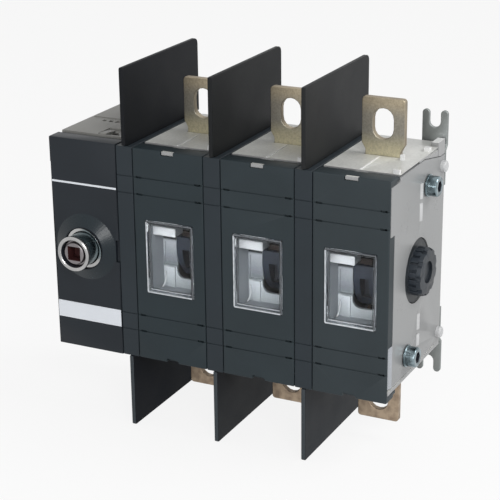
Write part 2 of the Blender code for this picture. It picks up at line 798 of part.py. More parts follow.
def add_case_trim(case, edge, top, shelf):
    """The latch, the ridge, the small blocks and the grooves on the shell's outside."""
    half = LATCH_WIDTH / 2
    under = COVER_HALF_HEIGHT - LATCH_DROP
    tongue = (POLE_CENTRE - half, POLE_CENTRE + half)
    lower, upper = LATCH_HEAD
    fuse(case, box(tongue, (LATCH_FACE + lower, shelf + BITE), (under, under + LATCH_TONGUE)))
    fuse(case, box(tongue, (LATCH_FACE, LATCH_REACH), (under + lower, COVER_HALF_HEIGHT - upper)))
    middle = POLE_CENTRE - RIDGE_INSET
    fuse(case, box(
        (middle - RIDGE_HALF, middle + RIDGE_HALF), (shelf + FIT, TERMINAL_DEPTH - RIDGE_GAP),
        (top - BITE, top + RIDGE_RISE),
    ))
    for inset, depth, (wide, deep, rise) in TOP_BLOCKS:
        x = (edge - inset, edge - inset + wide)
        fuse(case, box(x, (depth, depth + deep), (top - BITE, top + rise)))
    groove = (PLATE_TOP, PLATE_TOP + GROOVE_HEIGHT)
    for y in ((shelf - BITE, AXIS_DEPTH), REAR_GROOVE):
        cut(case, box((edge - GROOVE_DEPTH, edge + OVERCUT), y, groove))
    corner = CASE_DEPTH - CORNER_LENGTH
    fuse(case, box((edge - CORNER_WIDTH, edge), (corner, CASE_DEPTH), (top - BITE, top + CORNER_RISE)))
    cut(case, box(
        (edge - CORNER_LINE, edge + OVERCUT), (corner - CORNER_LINE, corner),
        (PLATE_TOP - PLATE_SLOPE_DROP, top + OVERCUT),
    ))


def plate_outline():
    """The end plate seen from the side: cut back round the cover's wrap, sloping at the back top."""
    clear = WRAP_HALF_HEIGHT + FIT
    upper = COVER_HALF_HEIGHT - FLANGE_WALL - FIT
    low = PLATE_TOP - PLATE_SLOPE_DROP
    step = LEDGE_BACK + FIT
    outline = [(PLATE_FRONT, -PLATE_BOTTOM)]
    outline += arc((CASE_DEPTH - PLATE_CORNER, -PLATE_BOTTOM + PLATE_CORNER), PLATE_CORNER, 270, 360, 6)
    outline += [
        (CASE_DEPTH, low), (CASE_DEPTH - PLATE_SLOPE_INSET, low),
        (PLATE_SLOPE_START, PLATE_TOP), (step, PLATE_TOP), (step, upper), (PLATE_FRONT, upper),
        (PLATE_FRONT, clear), (WRAP_DEPTH + FIT, clear), (WRAP_DEPTH + FIT, -clear), (PLATE_FRONT, -clear),
    ]
    return outline


def build_end_plate():
    """The light grey plate that closes the last pole."""
    right = SWITCH_RIGHT
    left = right - PLATE_THICKNESS
    plate = prism("X", plate_outline(), left, right)
    reach, fall = PLATE_BEVEL
    bevel = [
        (right - fall, PLATE_FRONT - OVERCUT), (right - fall, PLATE_FRONT), (right, PLATE_FRONT + reach),
        (right + OVERCUT, PLATE_FRONT + reach), (right + OVERCUT, PLATE_FRONT - OVERCUT),
    ]
    cut(plate, prism("Z", bevel, -PLATE_BOTTOM - OVERCUT, -WRAP_HALF_HEIGHT))
    back, drop = BUMP_INSETS
    profile = [
        (right - BITE, 0), (right - BITE, BUMP_RADIUS), (right + BUMP_HEIGHT - BUMP_ROUND, BUMP_RADIUS),
        (right + BUMP_HEIGHT, BUMP_RADIUS - BUMP_ROUND), (right + BUMP_HEIGHT, 0),
    ]
    for sign in (1, -1):
        fuse(plate, turned("X", (CASE_DEPTH - back, sign * (CASE_HALF_HEIGHT - drop)), profile, 24))
    add_ribs(plate, right)
    cut(plate, shaft_hole(left - OVERCUT, right + OVERCUT, COUPLING_FLANGE_RADIUS + RUNNING_FIT))
    cut(plate, *bolt_holes(left - OVERCUT, right + OVERCUT))
    return plate


def add_ribs(plate, right):
    """The short ribs on the plate, each with its long slope towards the front."""
    width, rise = RIB_SIZE
    start, end = RIB_DEPTH - width / 2, RIB_DEPTH + width / 2
    ridge = [(right - BITE, start), (right + rise, end - rise / 2), (right - BITE, end)]
    for sign, insets in zip((1, -1), RIB_INSETS):
        for near, far in insets:
            fuse(plate, prism(
                "Z", ridge, sign * (CASE_HALF_HEIGHT - far), sign * (CASE_HALF_HEIGHT - near),
            ))


def build_terminal():
    """An upper terminal: a slotted bar whose tail carries the two contact fingers."""
    wide, neck = TERMINAL_WIDTH / 2, TERMINAL_NECK / 2
    fillet, top = TERMINAL_FILLET, TERMINAL_HALF_HEIGHT
    step, shoulder = TERMINAL_STEP, CASE_HALF_HEIGHT + TERMINAL_NECK_RISE
    outline = [(POLE_CENTRE - neck, TERMINAL_TAIL), (POLE_CENTRE + neck, TERMINAL_TAIL)]
    outline += [(POLE_CENTRE + neck, shoulder - 2 * step)]
    outline += arc((POLE_CENTRE + wide - step, shoulder), step, -45, 0, 3)
    outline += arc((POLE_CENTRE + wide - fillet, top - fillet), fillet, 0, 90, 4)
    outline += arc((POLE_CENTRE - wide + fillet, top - fillet), fillet, 90, 180, 4)
    outline += arc((POLE_CENTRE - wide + step, shoulder), step, 180, 225, 3)
    outline += [(POLE_CENTRE - neck, shoulder - 2 * step)]
    front, back = TERMINAL_DEPTH, TERMINAL_DEPTH + TERMINAL_THICKNESS
    bar = prism("Y", outline, front, back)
    middle = top - TERMINAL_HOLE_MARGIN - TERMINAL_HOLE_HEIGHT / 2
    hole = obround((POLE_CENTRE, middle), TERMINAL_HOLE_WIDTH, TERMINAL_HOLE_HEIGHT)
    cut(bar, prism("Y", hole, front - OVERCUT, back + OVERCUT))
    inner = KNIFE_THICKNESS / 2 + FINGER_GAP
    outer = inner + FINGER_THICKNESS
    profile = rounded(
        (AXIS_DEPTH - FINGER_HALF_DEPTH, AXIS_DEPTH + FINGER_HALF_DEPTH),
        (ROTOR_RADIUS + FINGER_CLEARANCE, TERMINAL_TAIL + FINGER_LAP),
        [FINGER_ROUND, FINGER_ROUND, FINGER_ROUND / 2, FINGER_ROUND / 2], 3,
    )
    for sign in (1, -1):
        span = sorted((POLE_CENTRE + sign * inner, POLE_CENTRE + sign * outer))
        fuse(bar, prism("X", profile, *span))
    return bar


def build_chute():
    """An upper arc chute: steel splitter plates between two boards."""
    ceiling = CASE_HALF_HEIGHT - CASE_WALL - FIT
    start = CHAMBER_DEPTH + CHAMBER_WALL + FIT
    depth = (start, AXIS_DEPTH - FINGER_HALF_DEPTH - CHUTE_GAP)
    outer = POLE_PITCH - PLATE_THICKNESS - 2 * FIT - CASE_WALL - CHUTE_SIDE_GAP - POLE_CENTRE
    inner = outer - CHUTE_BOARD
    low = KNIFE_RADIUS + CHUTE_CLEARANCE
    first = low + CHUTE_SILL
    pitch = (ceiling - CHUTE_HEADROOM - first) / CHUTE_PLATES
    chute = box((POLE_CENTRE - outer, POLE_CENTRE - inner), depth, (low, ceiling))
    plate_depth = (start + BITE, depth[1] - BITE)
    for i in range(CHUTE_PLATES):
        height = first + i * pitch
        fuse(chute, box(
            (POLE_CENTRE - inner - CHUTE_BOARD / 2, POLE_CENTRE + inner + CHUTE_BOARD / 2),
            plate_depth, (height, height + CHUTE_PLATE),
        ))
    fuse(chute, box((POLE_CENTRE + inner, POLE_CENTRE + outer), depth, (low, ceiling)))
    return chute


def turned_about_axis(source):
    """A copy of a solid turned half round about the switching axis."""
    bm = bmesh.new()
    bm.from_mesh(source.data)
    pivot = Vector((0, AXIS_DEPTH, 0))
    bmesh.ops.rotate(bm, cent=pivot, matrix=Matrix.Rotation(math.pi, 3, "X"), verts=bm.verts)
    return as_object("turned_about_axis", bm)


def build_barrier():
    """An upper phase barrier with the tongue that slides into its holder."""
    middle = HOLDER_WIDTH / 2
    half = BARRIER_THICKNESS / 2
    foot, top = COVER_HALF_HEIGHT + FIT, BARRIER_HALF_HEIGHT
    low = COVER_HALF_HEIGHT - BARRIER_TONGUE
    inset, corner = BARRIER_TONGUE_INSET, BARRIER_FRONT_CORNER
    outline = [
        (inset, low), (CASE_DEPTH - inset, low), (CASE_DEPTH - inset, foot), (MOUNT_DEPTH, foot),
        (MOUNT_DEPTH, top - BARRIER_CORNER),
    ]
    outline += arc((MOUNT_DEPTH - BARRIER_CORNER, top - BARRIER_CORNER), BARRIER_CORNER, 0, 90, 5)[1:]
    outline += arc((corner, top - corner), corner, 90, 180, 3)
    outline += [(0, foot), (inset, foot)]
    return prism("X", outline, middle - half, middle + half)


def build_rotor():
    """The moulded drum that carries the moving contact, with a journal on each side."""
    half, hub = ROTOR_HALF_WIDTH, ROTOR_HALF_WIDTH + HUB_LENGTH
    rim, collar = ROTOR_RIM, JOURNAL_RADIUS + HUB_RISE
    left, right = HOLDER_WIDTH - JOURNAL_ENTRY, POLE_PITCH - JOURNAL_SETBACK
    rotor = turned("X", (AXIS_DEPTH, 0), [
        (left, 0), (left, JOURNAL_RADIUS), (POLE_CENTRE - hub, JOURNAL_RADIUS), (POLE_CENTRE - hub, collar),
        (POLE_CENTRE - half, collar), (POLE_CENTRE - half, ROTOR_RADIUS - rim),
        (POLE_CENTRE - half + rim, ROTOR_RADIUS), (POLE_CENTRE + half - rim, ROTOR_RADIUS),
        (POLE_CENTRE + half, ROTOR_RADIUS - rim), (POLE_CENTRE + half, collar),
        (POLE_CENTRE + hub, collar), (POLE_CENTRE + hub, JOURNAL_RADIUS), (right, JOURNAL_RADIUS), (right, 0),
    ], 48)
    thick, wide = KNIFE_THICKNESS / 2 + FIT, KNIFE_WIDTH / 2 + FIT
    over = ROTOR_RADIUS + OVERCUT
    blade = (POLE_CENTRE - thick, POLE_CENTRE + thick)
    across = (POLE_CENTRE - half - OVERCUT, POLE_CENTRE + half + OVERCUT)
    cut(rotor, box(blade, (AXIS_DEPTH - wide, AXIS_DEPTH + wide), (-over, over)))
    for sign in (1, -1):
        shoulder = sorted((AXIS_DEPTH - sign * over, AXIS_DEPTH - sign * SHOULDER_DEPTH))
        above = sorted((sign * SHOULDER_HEIGHT, sign * over))
        cut(rotor, box(across, shoulder, above))
        arm = sorted((AXIS_DEPTH - sign * over, AXIS_DEPTH))
        level = sorted((sign * (ARM_HEIGHTS[0] - FIT), sign * (ARM_HEIGHTS[1] + FIT)))
        cut(rotor, box(blade, arm, level))
    width, low, high, deep = ROTOR_SLOT
    face = AXIS_DEPTH - ROTOR_RADIUS
    blind = (POLE_CENTRE - width / 2, POLE_CENTRE + width / 2)
    cut(rotor, box(blind, (face - OVERCUT, face + deep), (low, high)))
    side = LINK_SIDE + 2 * FIT
    cut(rotor, square_bar((AXIS_DEPTH, 0), side, left - OVERCUT, LINK_REACH_RIGHT + FIT))
    cut(rotor, square_bar((AXIS_DEPTH, 0), side, POLE_PITCH - LINK_REACH_LEFT - FIT, right + OVERCUT))
    return rotor


def build_knife():
    """The moving contact: one copper bar through the drum, with bevelled tips and two side arms."""
    half, tip, thick = KNIFE_WIDTH / 2, KNIFE_RADIUS, KNIFE_THICKNESS / 2
    rise = math.sqrt(tip ** 2 - half ** 2)
    span = math.degrees(math.asin(half / tip))
    outline = arc((AXIS_DEPTH, 0), tip, 90 - span, 90 + span, 6)
    outline += arc((AXIS_DEPTH, 0), tip, 270 - span, 270 + span, 6)
    knife = prism("X", outline, POLE_CENTRE - thick, POLE_CENTRE + thick)
    tall, slope = KNIFE_BEVEL
    head = ARM_HEAD_WIDTH / 2
    for sign in (1, -1):
        for side in (1, -1):
            face = POLE_CENTRE + side * thick
            clear = face + side * OVERCUT
            wedge = [
                (clear, sign * (rise - tall)), (face, sign * (rise - tall)),
                (face - side * slope, sign * (tip + BITE)), (clear, sign * (tip + BITE)),
            ]
            cut(knife, prism("Y", wedge, AXIS_DEPTH - KNIFE_WIDTH, AXIS_DEPTH + KNIFE_WIDTH))
        level = sorted((sign * ARM_HEIGHTS[0], sign * ARM_HEIGHTS[1]))
        end = AXIS_DEPTH - sign * ARM_REACH
        fuse(knife, box(
            (POLE_CENTRE - thick, POLE_CENTRE + thick), sorted((end, AXIS_DEPTH - sign * half / 2)), level,
        ))
        fuse(knife, box(
            (POLE_CENTRE - head, POLE_CENTRE + head), sorted((end, end + sign * ARM_HEAD_LENGTH)), level,
        ))
    return knife


def build_link():
    """The square bar that joins two neighbouring rotors."""
    half = LINK_SIDE / 2
    depth = (AXIS_DEPTH - half, AXIS_DEPTH + half)
    return box((-LINK_REACH_LEFT, LINK_REACH_RIGHT), depth, (-half, half), LINK_CHAMFER, 1)


def spoke(turn, width, deep, start, end):
    """A cutter for one lengthwise slot in the coupling end, at an angle round the axis."""
    along, across = (math.cos(turn), math.sin(turn)), (-math.sin(turn), math.cos(turn))
    low, high, half = COUPLING_RADIUS - deep, COUPLING_RADIUS + OVERCUT, width / 2
    outline = [
        (AXIS_DEPTH + r * along[0] + s * across[0], r * along[1] + s * across[1])
        for r, s in ((low, -half), (high, -half), (high, half), (low, half))
    ]
    return prism("X", outline, start, end)


def build_coupling():
    """The toothed end of the switching shaft, at the right side."""
    left = SWITCH_RIGHT - PLATE_THICKNESS + FIT
    face = SWITCH_RIGHT - COUPLING_RECESS
    shoulder, end = SWITCH_RIGHT + COUPLING_BODY, SWITCH_RIGHT + COUPLING_REACH
    outer, flange = COUPLING_RADIUS, COUPLING_FLANGE_RADIUS
    boss = turned("X", (AXIS_DEPTH, 0), [
        (left, 0), (left, flange), (face, flange), (face, outer),
        (shoulder, outer), (end, outer - COUPLING_STEP), (end, 0),
    ], 60)
    width, deep = COUPLING_SLOT
    wide, notch = COUPLING_NOTCH
    for i in range(COUPLING_TEETH):
        turn = 2 * math.pi * i / COUPLING_TEETH
        between = turn + math.pi / COUPLING_TEETH
        cut(boss, spoke(turn, width, deep, face + FIT, end + OVERCUT))
        cut(boss, spoke(turn, wide, notch, shoulder - FIT, end + OVERCUT))
        cut(boss, spoke(between, width, deep / 2, face + FIT, shoulder - FIT))
    radius, hollow = COUPLING_CUP
    cut(boss, rod("X", (AXIS_DEPTH, 0), radius, end - hollow, end + OVERCUT, 32))
    tenon_start = SWITCH_RIGHT - LINK_REACH_LEFT
    fuse(boss, square_bar((AXIS_DEPTH, 0), LINK_SIDE, tenon_start, left + BITE))
    return boss


def build_bolt(place_):
    """A tie bolt with a socket head and a pressed flange."""
    flange_radius, flange = BOLT_FLANGE
    start = SWITCH_RIGHT + FIT
    end = start + flange + BOLT_HEAD_HEIGHT
    soft = BOLT_ROUND
    bolt = turned("X", place_, [
        (-BOLT_TAIL, 0), (-BOLT_TAIL, BOLT_RADIUS - soft), (soft - BOLT_TAIL, BOLT_RADIUS),
        (start, BOLT_RADIUS), (start, flange_radius), (start + flange, flange_radius),
        (start + flange, BOLT_HEAD_RADIUS), (end - soft, BOLT_HEAD_RADIUS),
        (end, BOLT_HEAD_RADIUS - soft), (end, 0),
    ], 28)
    across, deep = BOLT_SOCKET
    hexagon = [
        (place_[0] + u, place_[1] + v) for u, v in arc((0, 0), across / math.sqrt(3), 0, 300, 5)
    ]
    cut(bolt, prism("X", hexagon, end - deep, end + OVERCUT))
    return bolt


def build_foot(left):
    """An upper mounting foot: a joggled steel strip with an open slot."""
    back, thick = MOUNT_DEPTH, FOOT_THICKNESS
    shelf = CASE_DEPTH + FIT
    joggle, tail = CASE_HALF_HEIGHT - FOOT_JOGGLE_INSET, CASE_HALF_HEIGHT - FOOT_TAIL_INSET
    end = CASE_HALF_HEIGHT + FOOT_REACH
    drop = back - thick - shelf
    profile = [
        (shelf, tail), (shelf + thick, tail), (shelf + thick, joggle), (back, joggle + drop),
        (back, end), (back - thick, end), (back - thick, joggle + drop + FOOT_BEND),
        (shelf, joggle + FOOT_BEND),
    ]
    foot = prism("X", profile, left, left + FOOT_WIDTH)
    middle, half = left + FOOT_WIDTH / 2, FOOT_SLOT / 2
    through = (CASE_DEPTH - OVERCUT, MOUNT_DEPTH + OVERCUT)
    slot = arc((middle, end - FOOT_SLOT_LENGTH + half), half, 180, 360, 8)
    slot += [(middle + half, end + OVERCUT), (middle - half, end + OVERCUT)]
    cut(foot, prism("Y", slot, *through))
    prong = (FOOT_WIDTH - FOOT_SLOT) / 2
    base, above = end - prong / 2, end + OVERCUT
    for centre in (left + prong / 2, left + FOOT_WIDTH - prong / 2):
        cap = arc((centre, base), prong / 2 + CAP_SLACK, 0, 180, 8)
        cap += [(centre - prong, base), (centre - prong, above)]
        cap += [(centre + prong, above), (centre + prong, base)]
        cut(foot, prism("Y", cap, *through))
    cut(foot, rod("Y", (middle, (tail + joggle) / 2), FOOT_HOLE_RADIUS, *through, 16))
    return foot


def build_mechanism_case():
    """The light grey shell of the mechanism, open at the front."""
    left, right = -MECHANISM_WIDTH, -FIT / 2
    bottom, top = -CASE_HALF_HEIGHT, CASE_HALF_HEIGHT + MECHANISM_RISE
    front, shelf = COVER_DEPTH + FIT, LEDGE_BACK + FIT
    wall = CASE_WALL
    case = box((left, right), (front, CASE_DEPTH), (bottom, top), SOFT_EDGE / 2, 1)
    start, inset, rise = REAR_STEP
    fuse(case, box((left + inset, right), (start, CASE_DEPTH), (top - BITE, top + rise)))
    hollow = (left + wall, right - wall)
    cut(case, box(hollow, (front - OVERCUT, CASE_DEPTH - wall), (bottom + wall, top - wall)))
    step = mechanism_cover_top() - LEDGE_DROP - LEDGE_THICKNESS - FIT
    for span in both_ways(step, top + OVERCUT):
        cut(case, box((left - OVERCUT, right + OVERCUT), (front - OVERCUT, shelf), span))
    cut(case, shaft_hole(right - wall - OVERCUT, right + OVERCUT))
    pivot = PIVOT_RADIUS + RUNNING_FIT
    cut(case, rod("X", (AXIS_DEPTH, 0), pivot, left + wall * 0.5, left + wall + OVERCUT, 24))
    cut(case, *bolt_holes(right - wall - OVERCUT, right + OVERCUT))
    wide, deep = REAR_SLOT
    for i in range(REAR_SLOTS):
        start = left + REAR_SLOT_INSET + i * REAR_SLOT_PITCH
        depth = (REAR_SLOT_DEPTH, REAR_SLOT_DEPTH + deep)
        cut(case, box((start, start + wide), depth, (top - wall - OVERCUT, top + OVERCUT)))
    add_mechanism_latch(case, right, top)
    return case


def add_mechanism_latch(case, right, top):
    """The pocket in the mechanism's top and the sprung latch that stands in it."""
    (near, far), depth = LATCH_POCKET
    cut(case, box((right - near, right - far), depth, (top - LATCH_POCKET_DEPTH, top + OVERCUT)))
    hole = [(right - inset, y) for inset, y in LATCH_HOLE]
    cut(case, prism("Z", hole, top - LATCH_HOLE_DEPTH, top + OVERCUT))
    near, far = SPRUNG_LATCH
    fuse(case, prism("X", [(y, top + rise) for y, rise in LATCH_RAMP], right - near, right - far))


def mechanism_cover_top():
    """Height of the mechanism cover's upper end."""
    return COVER_HALF_HEIGHT + MECHANISM_COVER_STEP


def marking_spans():
    """Left and right of the markings, and the heights of the line and of the label plate."""
    left, right = LABEL_MARGINS
    stripe = COVER_HALF_HEIGHT - STRIPE_INSET
    near, far = LABEL_INSETS
    return (
        (left - MECHANISM_WIDTH, -FIT / 2 - right), (stripe - STRIPE_WIDTH / 2, stripe + STRIPE_WIDTH / 2),
        (near - COVER_HALF_HEIGHT, far - COVER_HALF_HEIGHT),
    )


def build_mechanism_cover():
    """The dark mechanism cover, with the raised boss round the shaft."""
    left, right = -MECHANISM_WIDTH, -FIT / 2
    top, bottom = mechanism_cover_top(), -COVER_HALF_HEIGHT - FIT
    back, wall = LEDGE_BACK + OVERCUT, COVER_WALL
    cover = box((left, right), (0, COVER_DEPTH), (bottom, top), SOFT_EDGE)
    cut(cover, box((left + wall, right - wall), (wall, back), (bottom + wall, top - wall)))
    fuse(cover, *ledges(left, right, top))
    base, crest = MECHANISM_WIDTH / 2 - BOSS_MARGIN, BOSS_HOLE + BOSS_LAND
    fuse(cover, turned("Y", (SHAFT_X, 0), [
        (wall - BITE, 0), (wall - BITE, base), (0, base), (-BOSS_HEIGHT, crest), (-BOSS_HEIGHT, 0),
    ], 64))
    cut(cover, rod("Y", (SHAFT_X, 0), BOSS_HOLE, -BOSS_HEIGHT - OVERCUT, wall + OVERCUT, 64))
    near, far = SIDE_NOTCHES
    for x in ((left - OVERCUT, left + near), (right - far, right + OVERCUT)):
        cut(cover, box(x, (-OVERCUT, SIDE_NOTCH_DEPTH), (-SIDE_NOTCH_HALF, SIDE_NOTCH_HALF)))
    step, drop = SIDE_STEP
    cut(cover, box((left - OVERCUT, left + step), (-OVERCUT, back), (bottom - OVERCUT, top - drop)))
    span, *heights = marking_spans()
    gap = LABEL_GAP
    for low, high in heights:
        recess = (-OVERCUT, LABEL_THICKNESS + FIT)
        cut(cover, box((span[0] - gap, span[1] + gap), recess, (low - gap, high + gap)))
    return cover


def build_markings():
    """The thin white line and the blank white label plate."""
    span, stripe, label = marking_spans()
    depth = (0, LABEL_THICKNESS)
    return box(span, depth, stripe), box(span, depth, label)


def build_shaft():
    """The operating shaft: socket ring, sleeve and spindle in one turned piece."""
    front, soft = SHAFT_FRONT, RING_ROUND
    shoulder = AXIS_DEPTH - GEAR_BACK - FIT
    tip = AXIS_DEPTH - GEAR_BACK + SPINDLE_TIP
    cup, ring = front + SOCKET_DEPTH, front + RING_LENGTH
    return turned("Y", (SHAFT_X, 0), [
        (cup, 0), (cup, RING_BORE), (front + soft, RING_BORE), (front, RING_BORE + soft),
        (front, RING_RADIUS - soft), (front + soft, RING_RADIUS), (ring, RING_RADIUS),
        (ring + RING_NECK, SLEEVE_RADIUS), (SLEEVE_END, SLEEVE_RADIUS), (SLEEVE_END, SPINDLE_RADIUS),
        (shoulder, SPINDLE_RADIUS), (shoulder, SPINDLE_TIP_RADIUS), (tip, SPINDLE_TIP_RADIUS), (tip, 0),
    ], 48)


def build_socket():
    """The insert with the square hole for the handle's shaft."""
    front = SHAFT_FRONT + SOCKET_INSET
    back = SHAFT_FRONT + SOCKET_DEPTH - FIT
    lip, waist = front + SOCKET_LIP, RING_BORE - FIT
    insert = turned("Y", (SHAFT_X, 0), [
        (front, 0), (front, SOCKET_RADIUS - FIT), (front + FIT, SOCKET_RADIUS),
        (lip, SOCKET_RADIUS), (lip, waist), (back, waist), (back, 0),
    ], 40)
    half = SOCKET_SIDE / 2
    square = [(SHAFT_X - half, -half), (SHAFT_X + half, -half), (SHAFT_X + half, half), (SHAFT_X - half, half)]
    cut(insert, prism("Y", square, front - OVERCUT, back + OVERCUT))
    return insert


def build_collar():
    """The dark bush in the cover's boss."""
    inner = SLEEVE_RADIUS + RUNNING_FIT
    seat = COVER_WALL + FIT
    return turned("Y", (SHAFT_X, 0), [
        (COLLAR_FRONT, inner), (COLLAR_FRONT, COLLAR_RADIUS - FIT), (COLLAR_FRONT + FIT, COLLAR_RADIUS),
        (seat, COLLAR_RADIUS), (seat, COLLAR_RADIUS + COLLAR_LAP),
        (COLLAR_BACK, COLLAR_RADIUS + COLLAR_LAP), (COLLAR_BACK, inner),
    ], 40)


def build_washer():
    """The bright spring washer in front of the bush, with two wider lobes."""
    inner = SLEEVE_RADIUS + RUNNING_FIT
    front, back = WASHER_FRONT, WASHER_FRONT + WASHER_THICKNESS
    bm = bmesh.new()
    segments = 48
    rings = []
    for along, waved in ((front, False), (front, True), (back, True), (back, False)):
        ring = []
        for i in range(segments):
            angle = 2 * math.pi * i / segments
            radius = WASHER_RADIUS + WASHER_WAVE * math.cos(2 * angle + 1.8) if waved else inner
            ring.append(bm.verts.new((SHAFT_X + radius * math.cos(angle), along, radius * math.sin(angle))))
        rings.append(ring)
    for k in range(4):
        for i in range(segments):
            j = (i + 1) % segments
            bm.faces.new((rings[k][i], rings[k][j], rings[(k + 1) % 4][j], rings[(k + 1) % 4][i]))
    return as_object("washer", bm)


def build_gear(to_device, phase, hub):
    """A bevel gear blank with straight tapered teeth, apex at the axes' crossing."""
    pitch = GEAR_RADIUS
    flat = math.sqrt(0.5)
    tip = (pitch + GEAR_ADDENDUM * flat, pitch - GEAR_ADDENDUM * flat)
    root = (pitch - GEAR_DEDENDUM * flat, pitch + GEAR_DEDENDUM * flat)
    inner = 1.0 - GEAR_FACE / pitch
    step = 2 * math.pi / GEAR_TEETH
    bm = bmesh.new()
    rings = [[], [], [], []]
    for tooth in range(GEAR_TEETH):
        middle = phase + tooth * step
        for share, on_tip in ((-0.27, False), (-0.12, True), (0.12, True), (0.27, False)):
            angle = middle + share * step
            radius, along = tip if on_tip else root
            samples = (
                (root[0], GEAR_BACK), (radius, along), (radius * inner, along * inner),
                (root[0] * inner - GEAR_CUP, root[1] * inner),
            )
            for ring, (r, a) in zip(rings, samples):
                ring.append(bm.verts.new(to_device(r * math.cos(angle), r * math.sin(angle), a)))
    count = len(rings[0])
    for first, second in zip(rings, rings[1:]):
        for i in range(count):
            j = (i + 1) % count
            bm.faces.new((first[i], first[j], second[j], second[i]))
    bm.faces.new(rings[0])
    bm.faces.new(rings[-1])
    gear = as_object("gear", bm)
    for piece in hub:
        fuse(gear, piece)
    return gear


def build_drive_gear():
    """The gear on the operating shaft; its cone opens towards the front."""
    gear = build_gear(lambda u, v, a: (SHAFT_X + u, AXIS_DEPTH - a, v), 0.0, [])
    back = AXIS_DEPTH - GEAR_BACK
    cut(gear, rod("Y", (SHAFT_X, 0), SPINDLE_TIP_RADIUS + FIT, back - OVERCUT, back + SPINDLE_TIP + FIT, 24))
    return gear


def build_driven_gear():
    """The gear on the switching axis, with the hub that reaches the first rotor."""
    face = SHAFT_X - (GEAR_RADIUS - GEAR_FACE) - GEAR_HUB_START
    centre = (AXIS_DEPTH, 0)
    back = SHAFT_X - GEAR_BACK
    end = -BITE
    neck = end - GEAR_HUB_NECK
    pivot = -MECHANISM_WIDTH + CASE_WALL * 0.5 + FIT
    hub = [
        turned("X", centre, [
            (face, 0), (face, GEAR_HUB_RADIUS), (neck, GEAR_HUB_RADIUS),
            (neck, JOURNAL_RADIUS), (end, JOURNAL_RADIUS), (end, 0),
        ], 32),
        rod("X", centre, PIVOT_RADIUS, pivot, back + OVERCUT, 24),
    ]
    gear = build_gear(lambda u, v, a: (SHAFT_X - a, AXIS_DEPTH - u, v), math.pi / GEAR_TEETH, hub)
    cut(gear, square_bar(centre, LINK_SIDE + 2 * FIT, -LINK_REACH_LEFT - FIT, end + OVERCUT))
    return gear


def build_bearing_plate():
    """The steel plate that guides the spindle inside the mechanism."""
    wall = CASE_WALL + FIT
    span = (-MECHANISM_WIDTH + wall, -FIT / 2 - wall)
    height = BEARING_HALF_HEIGHT
    front, back = BEARING_DEPTH, BEARING_DEPTH + BEARING_THICKNESS
    plate = prism("Y", rounded(span, (-height, height), [BEARING_CORNER] * 4, 3), front, back)
    cut(plate, rod("Y", (SHAFT_X, 0), SPINDLE_RADIUS + RUNNING_FIT, front - OVERCUT, back + OVERCUT, 32))
    return plate


def spring_curve():
    """The centre line of the toggle spring, a helix of round wire."""
    wire, radius = SPRING_WIRE, SPRING_RADIUS
    low = SPRING_SEAT + wire
    high = CASE_HALF_HEIGHT + MECHANISM_RISE - CASE_WALL - FIT - wire
    depth = AXIS_DEPTH - SPRING_SET_FORWARD
    points = SPRING_STEPS * SPRING_TURNS
    curve = bpy.data.curves.new("toggle_spring", "CURVE")
    curve.dimensions = "3D"
    curve.bevel_depth = wire
    curve.bevel_resolution = 1
    curve.use_fill_caps = True
    spline = curve.splines.new("POLY")
    spline.points.add(points)
    for i, point in enumerate(spline.points):
        angle = 2 * math.pi * i / SPRING_STEPS
        height = low + (high - low) * i / points
        point.co = (SHAFT_X + radius * math.cos(angle), depth + radius * math.sin(angle), height, 1)
    return curve


def build_spring():
    """The toggle spring above the drive gear."""
    holder = bpy.data.objects.new("toggle_spring_curve", spring_curve())
    bpy.context.scene.collection.objects.link(holder)
    graph = bpy.context.evaluated_depsgraph_get()
    mesh = bpy.data.meshes.new_from_object(holder.evaluated_get(graph))
    bpy.data.objects.remove(holder, do_unlink=True)
    bm = bmesh.new()
    bm.from_mesh(mesh)
    bmesh.ops.remove_doubles(bm, verts=bm.verts, dist=0.000001)
    bpy.data.meshes.remove(mesh)
    return as_object("toggle_spring", bm)


def build_finishes():
    """The materials, by name."""
    return {
        "cover": finish("dark_cover", (0.044, 0.053, 0.058), 0.55),
        "mechanism": finish("mechanism_cover", (0.030, 0.037, 0.040), 0.50),
        "holder": finish("dark_holder", (0.044, 0.052, 0.057), 0.55),
        "barrier": finish("barrier", (0.026, 0.027, 0.029), 0.60),
        "grey": finish("light_grey", (0.36, 0.36, 0.36), 0.50),
        "clear": finish("clear_window", (0.90, 0.92, 0.93), 0.08, 0.0, 1.0),
        "white": finish("white_marking", (0.72, 0.75, 0.78), 0.50),
        "brass": finish("terminal_plate", (0.36, 0.31, 0.22), 0.38, 1.0),
        "copper": finish("contact_copper", (0.62, 0.30, 0.17), 0.35, 1.0),
        "zinc": finish("zinc_steel", (0.40, 0.43, 0.46), 0.32, 1.0),
        "chrome": finish("bright_steel", (0.62, 0.62, 0.60), 0.20, 1.0),
        "black": finish("black_moulding", (0.020, 0.021, 0.024), 0.45),
        "steel": finish("plate_steel", (0.33, 0.34, 0.36), 0.40, 1.0),
    }


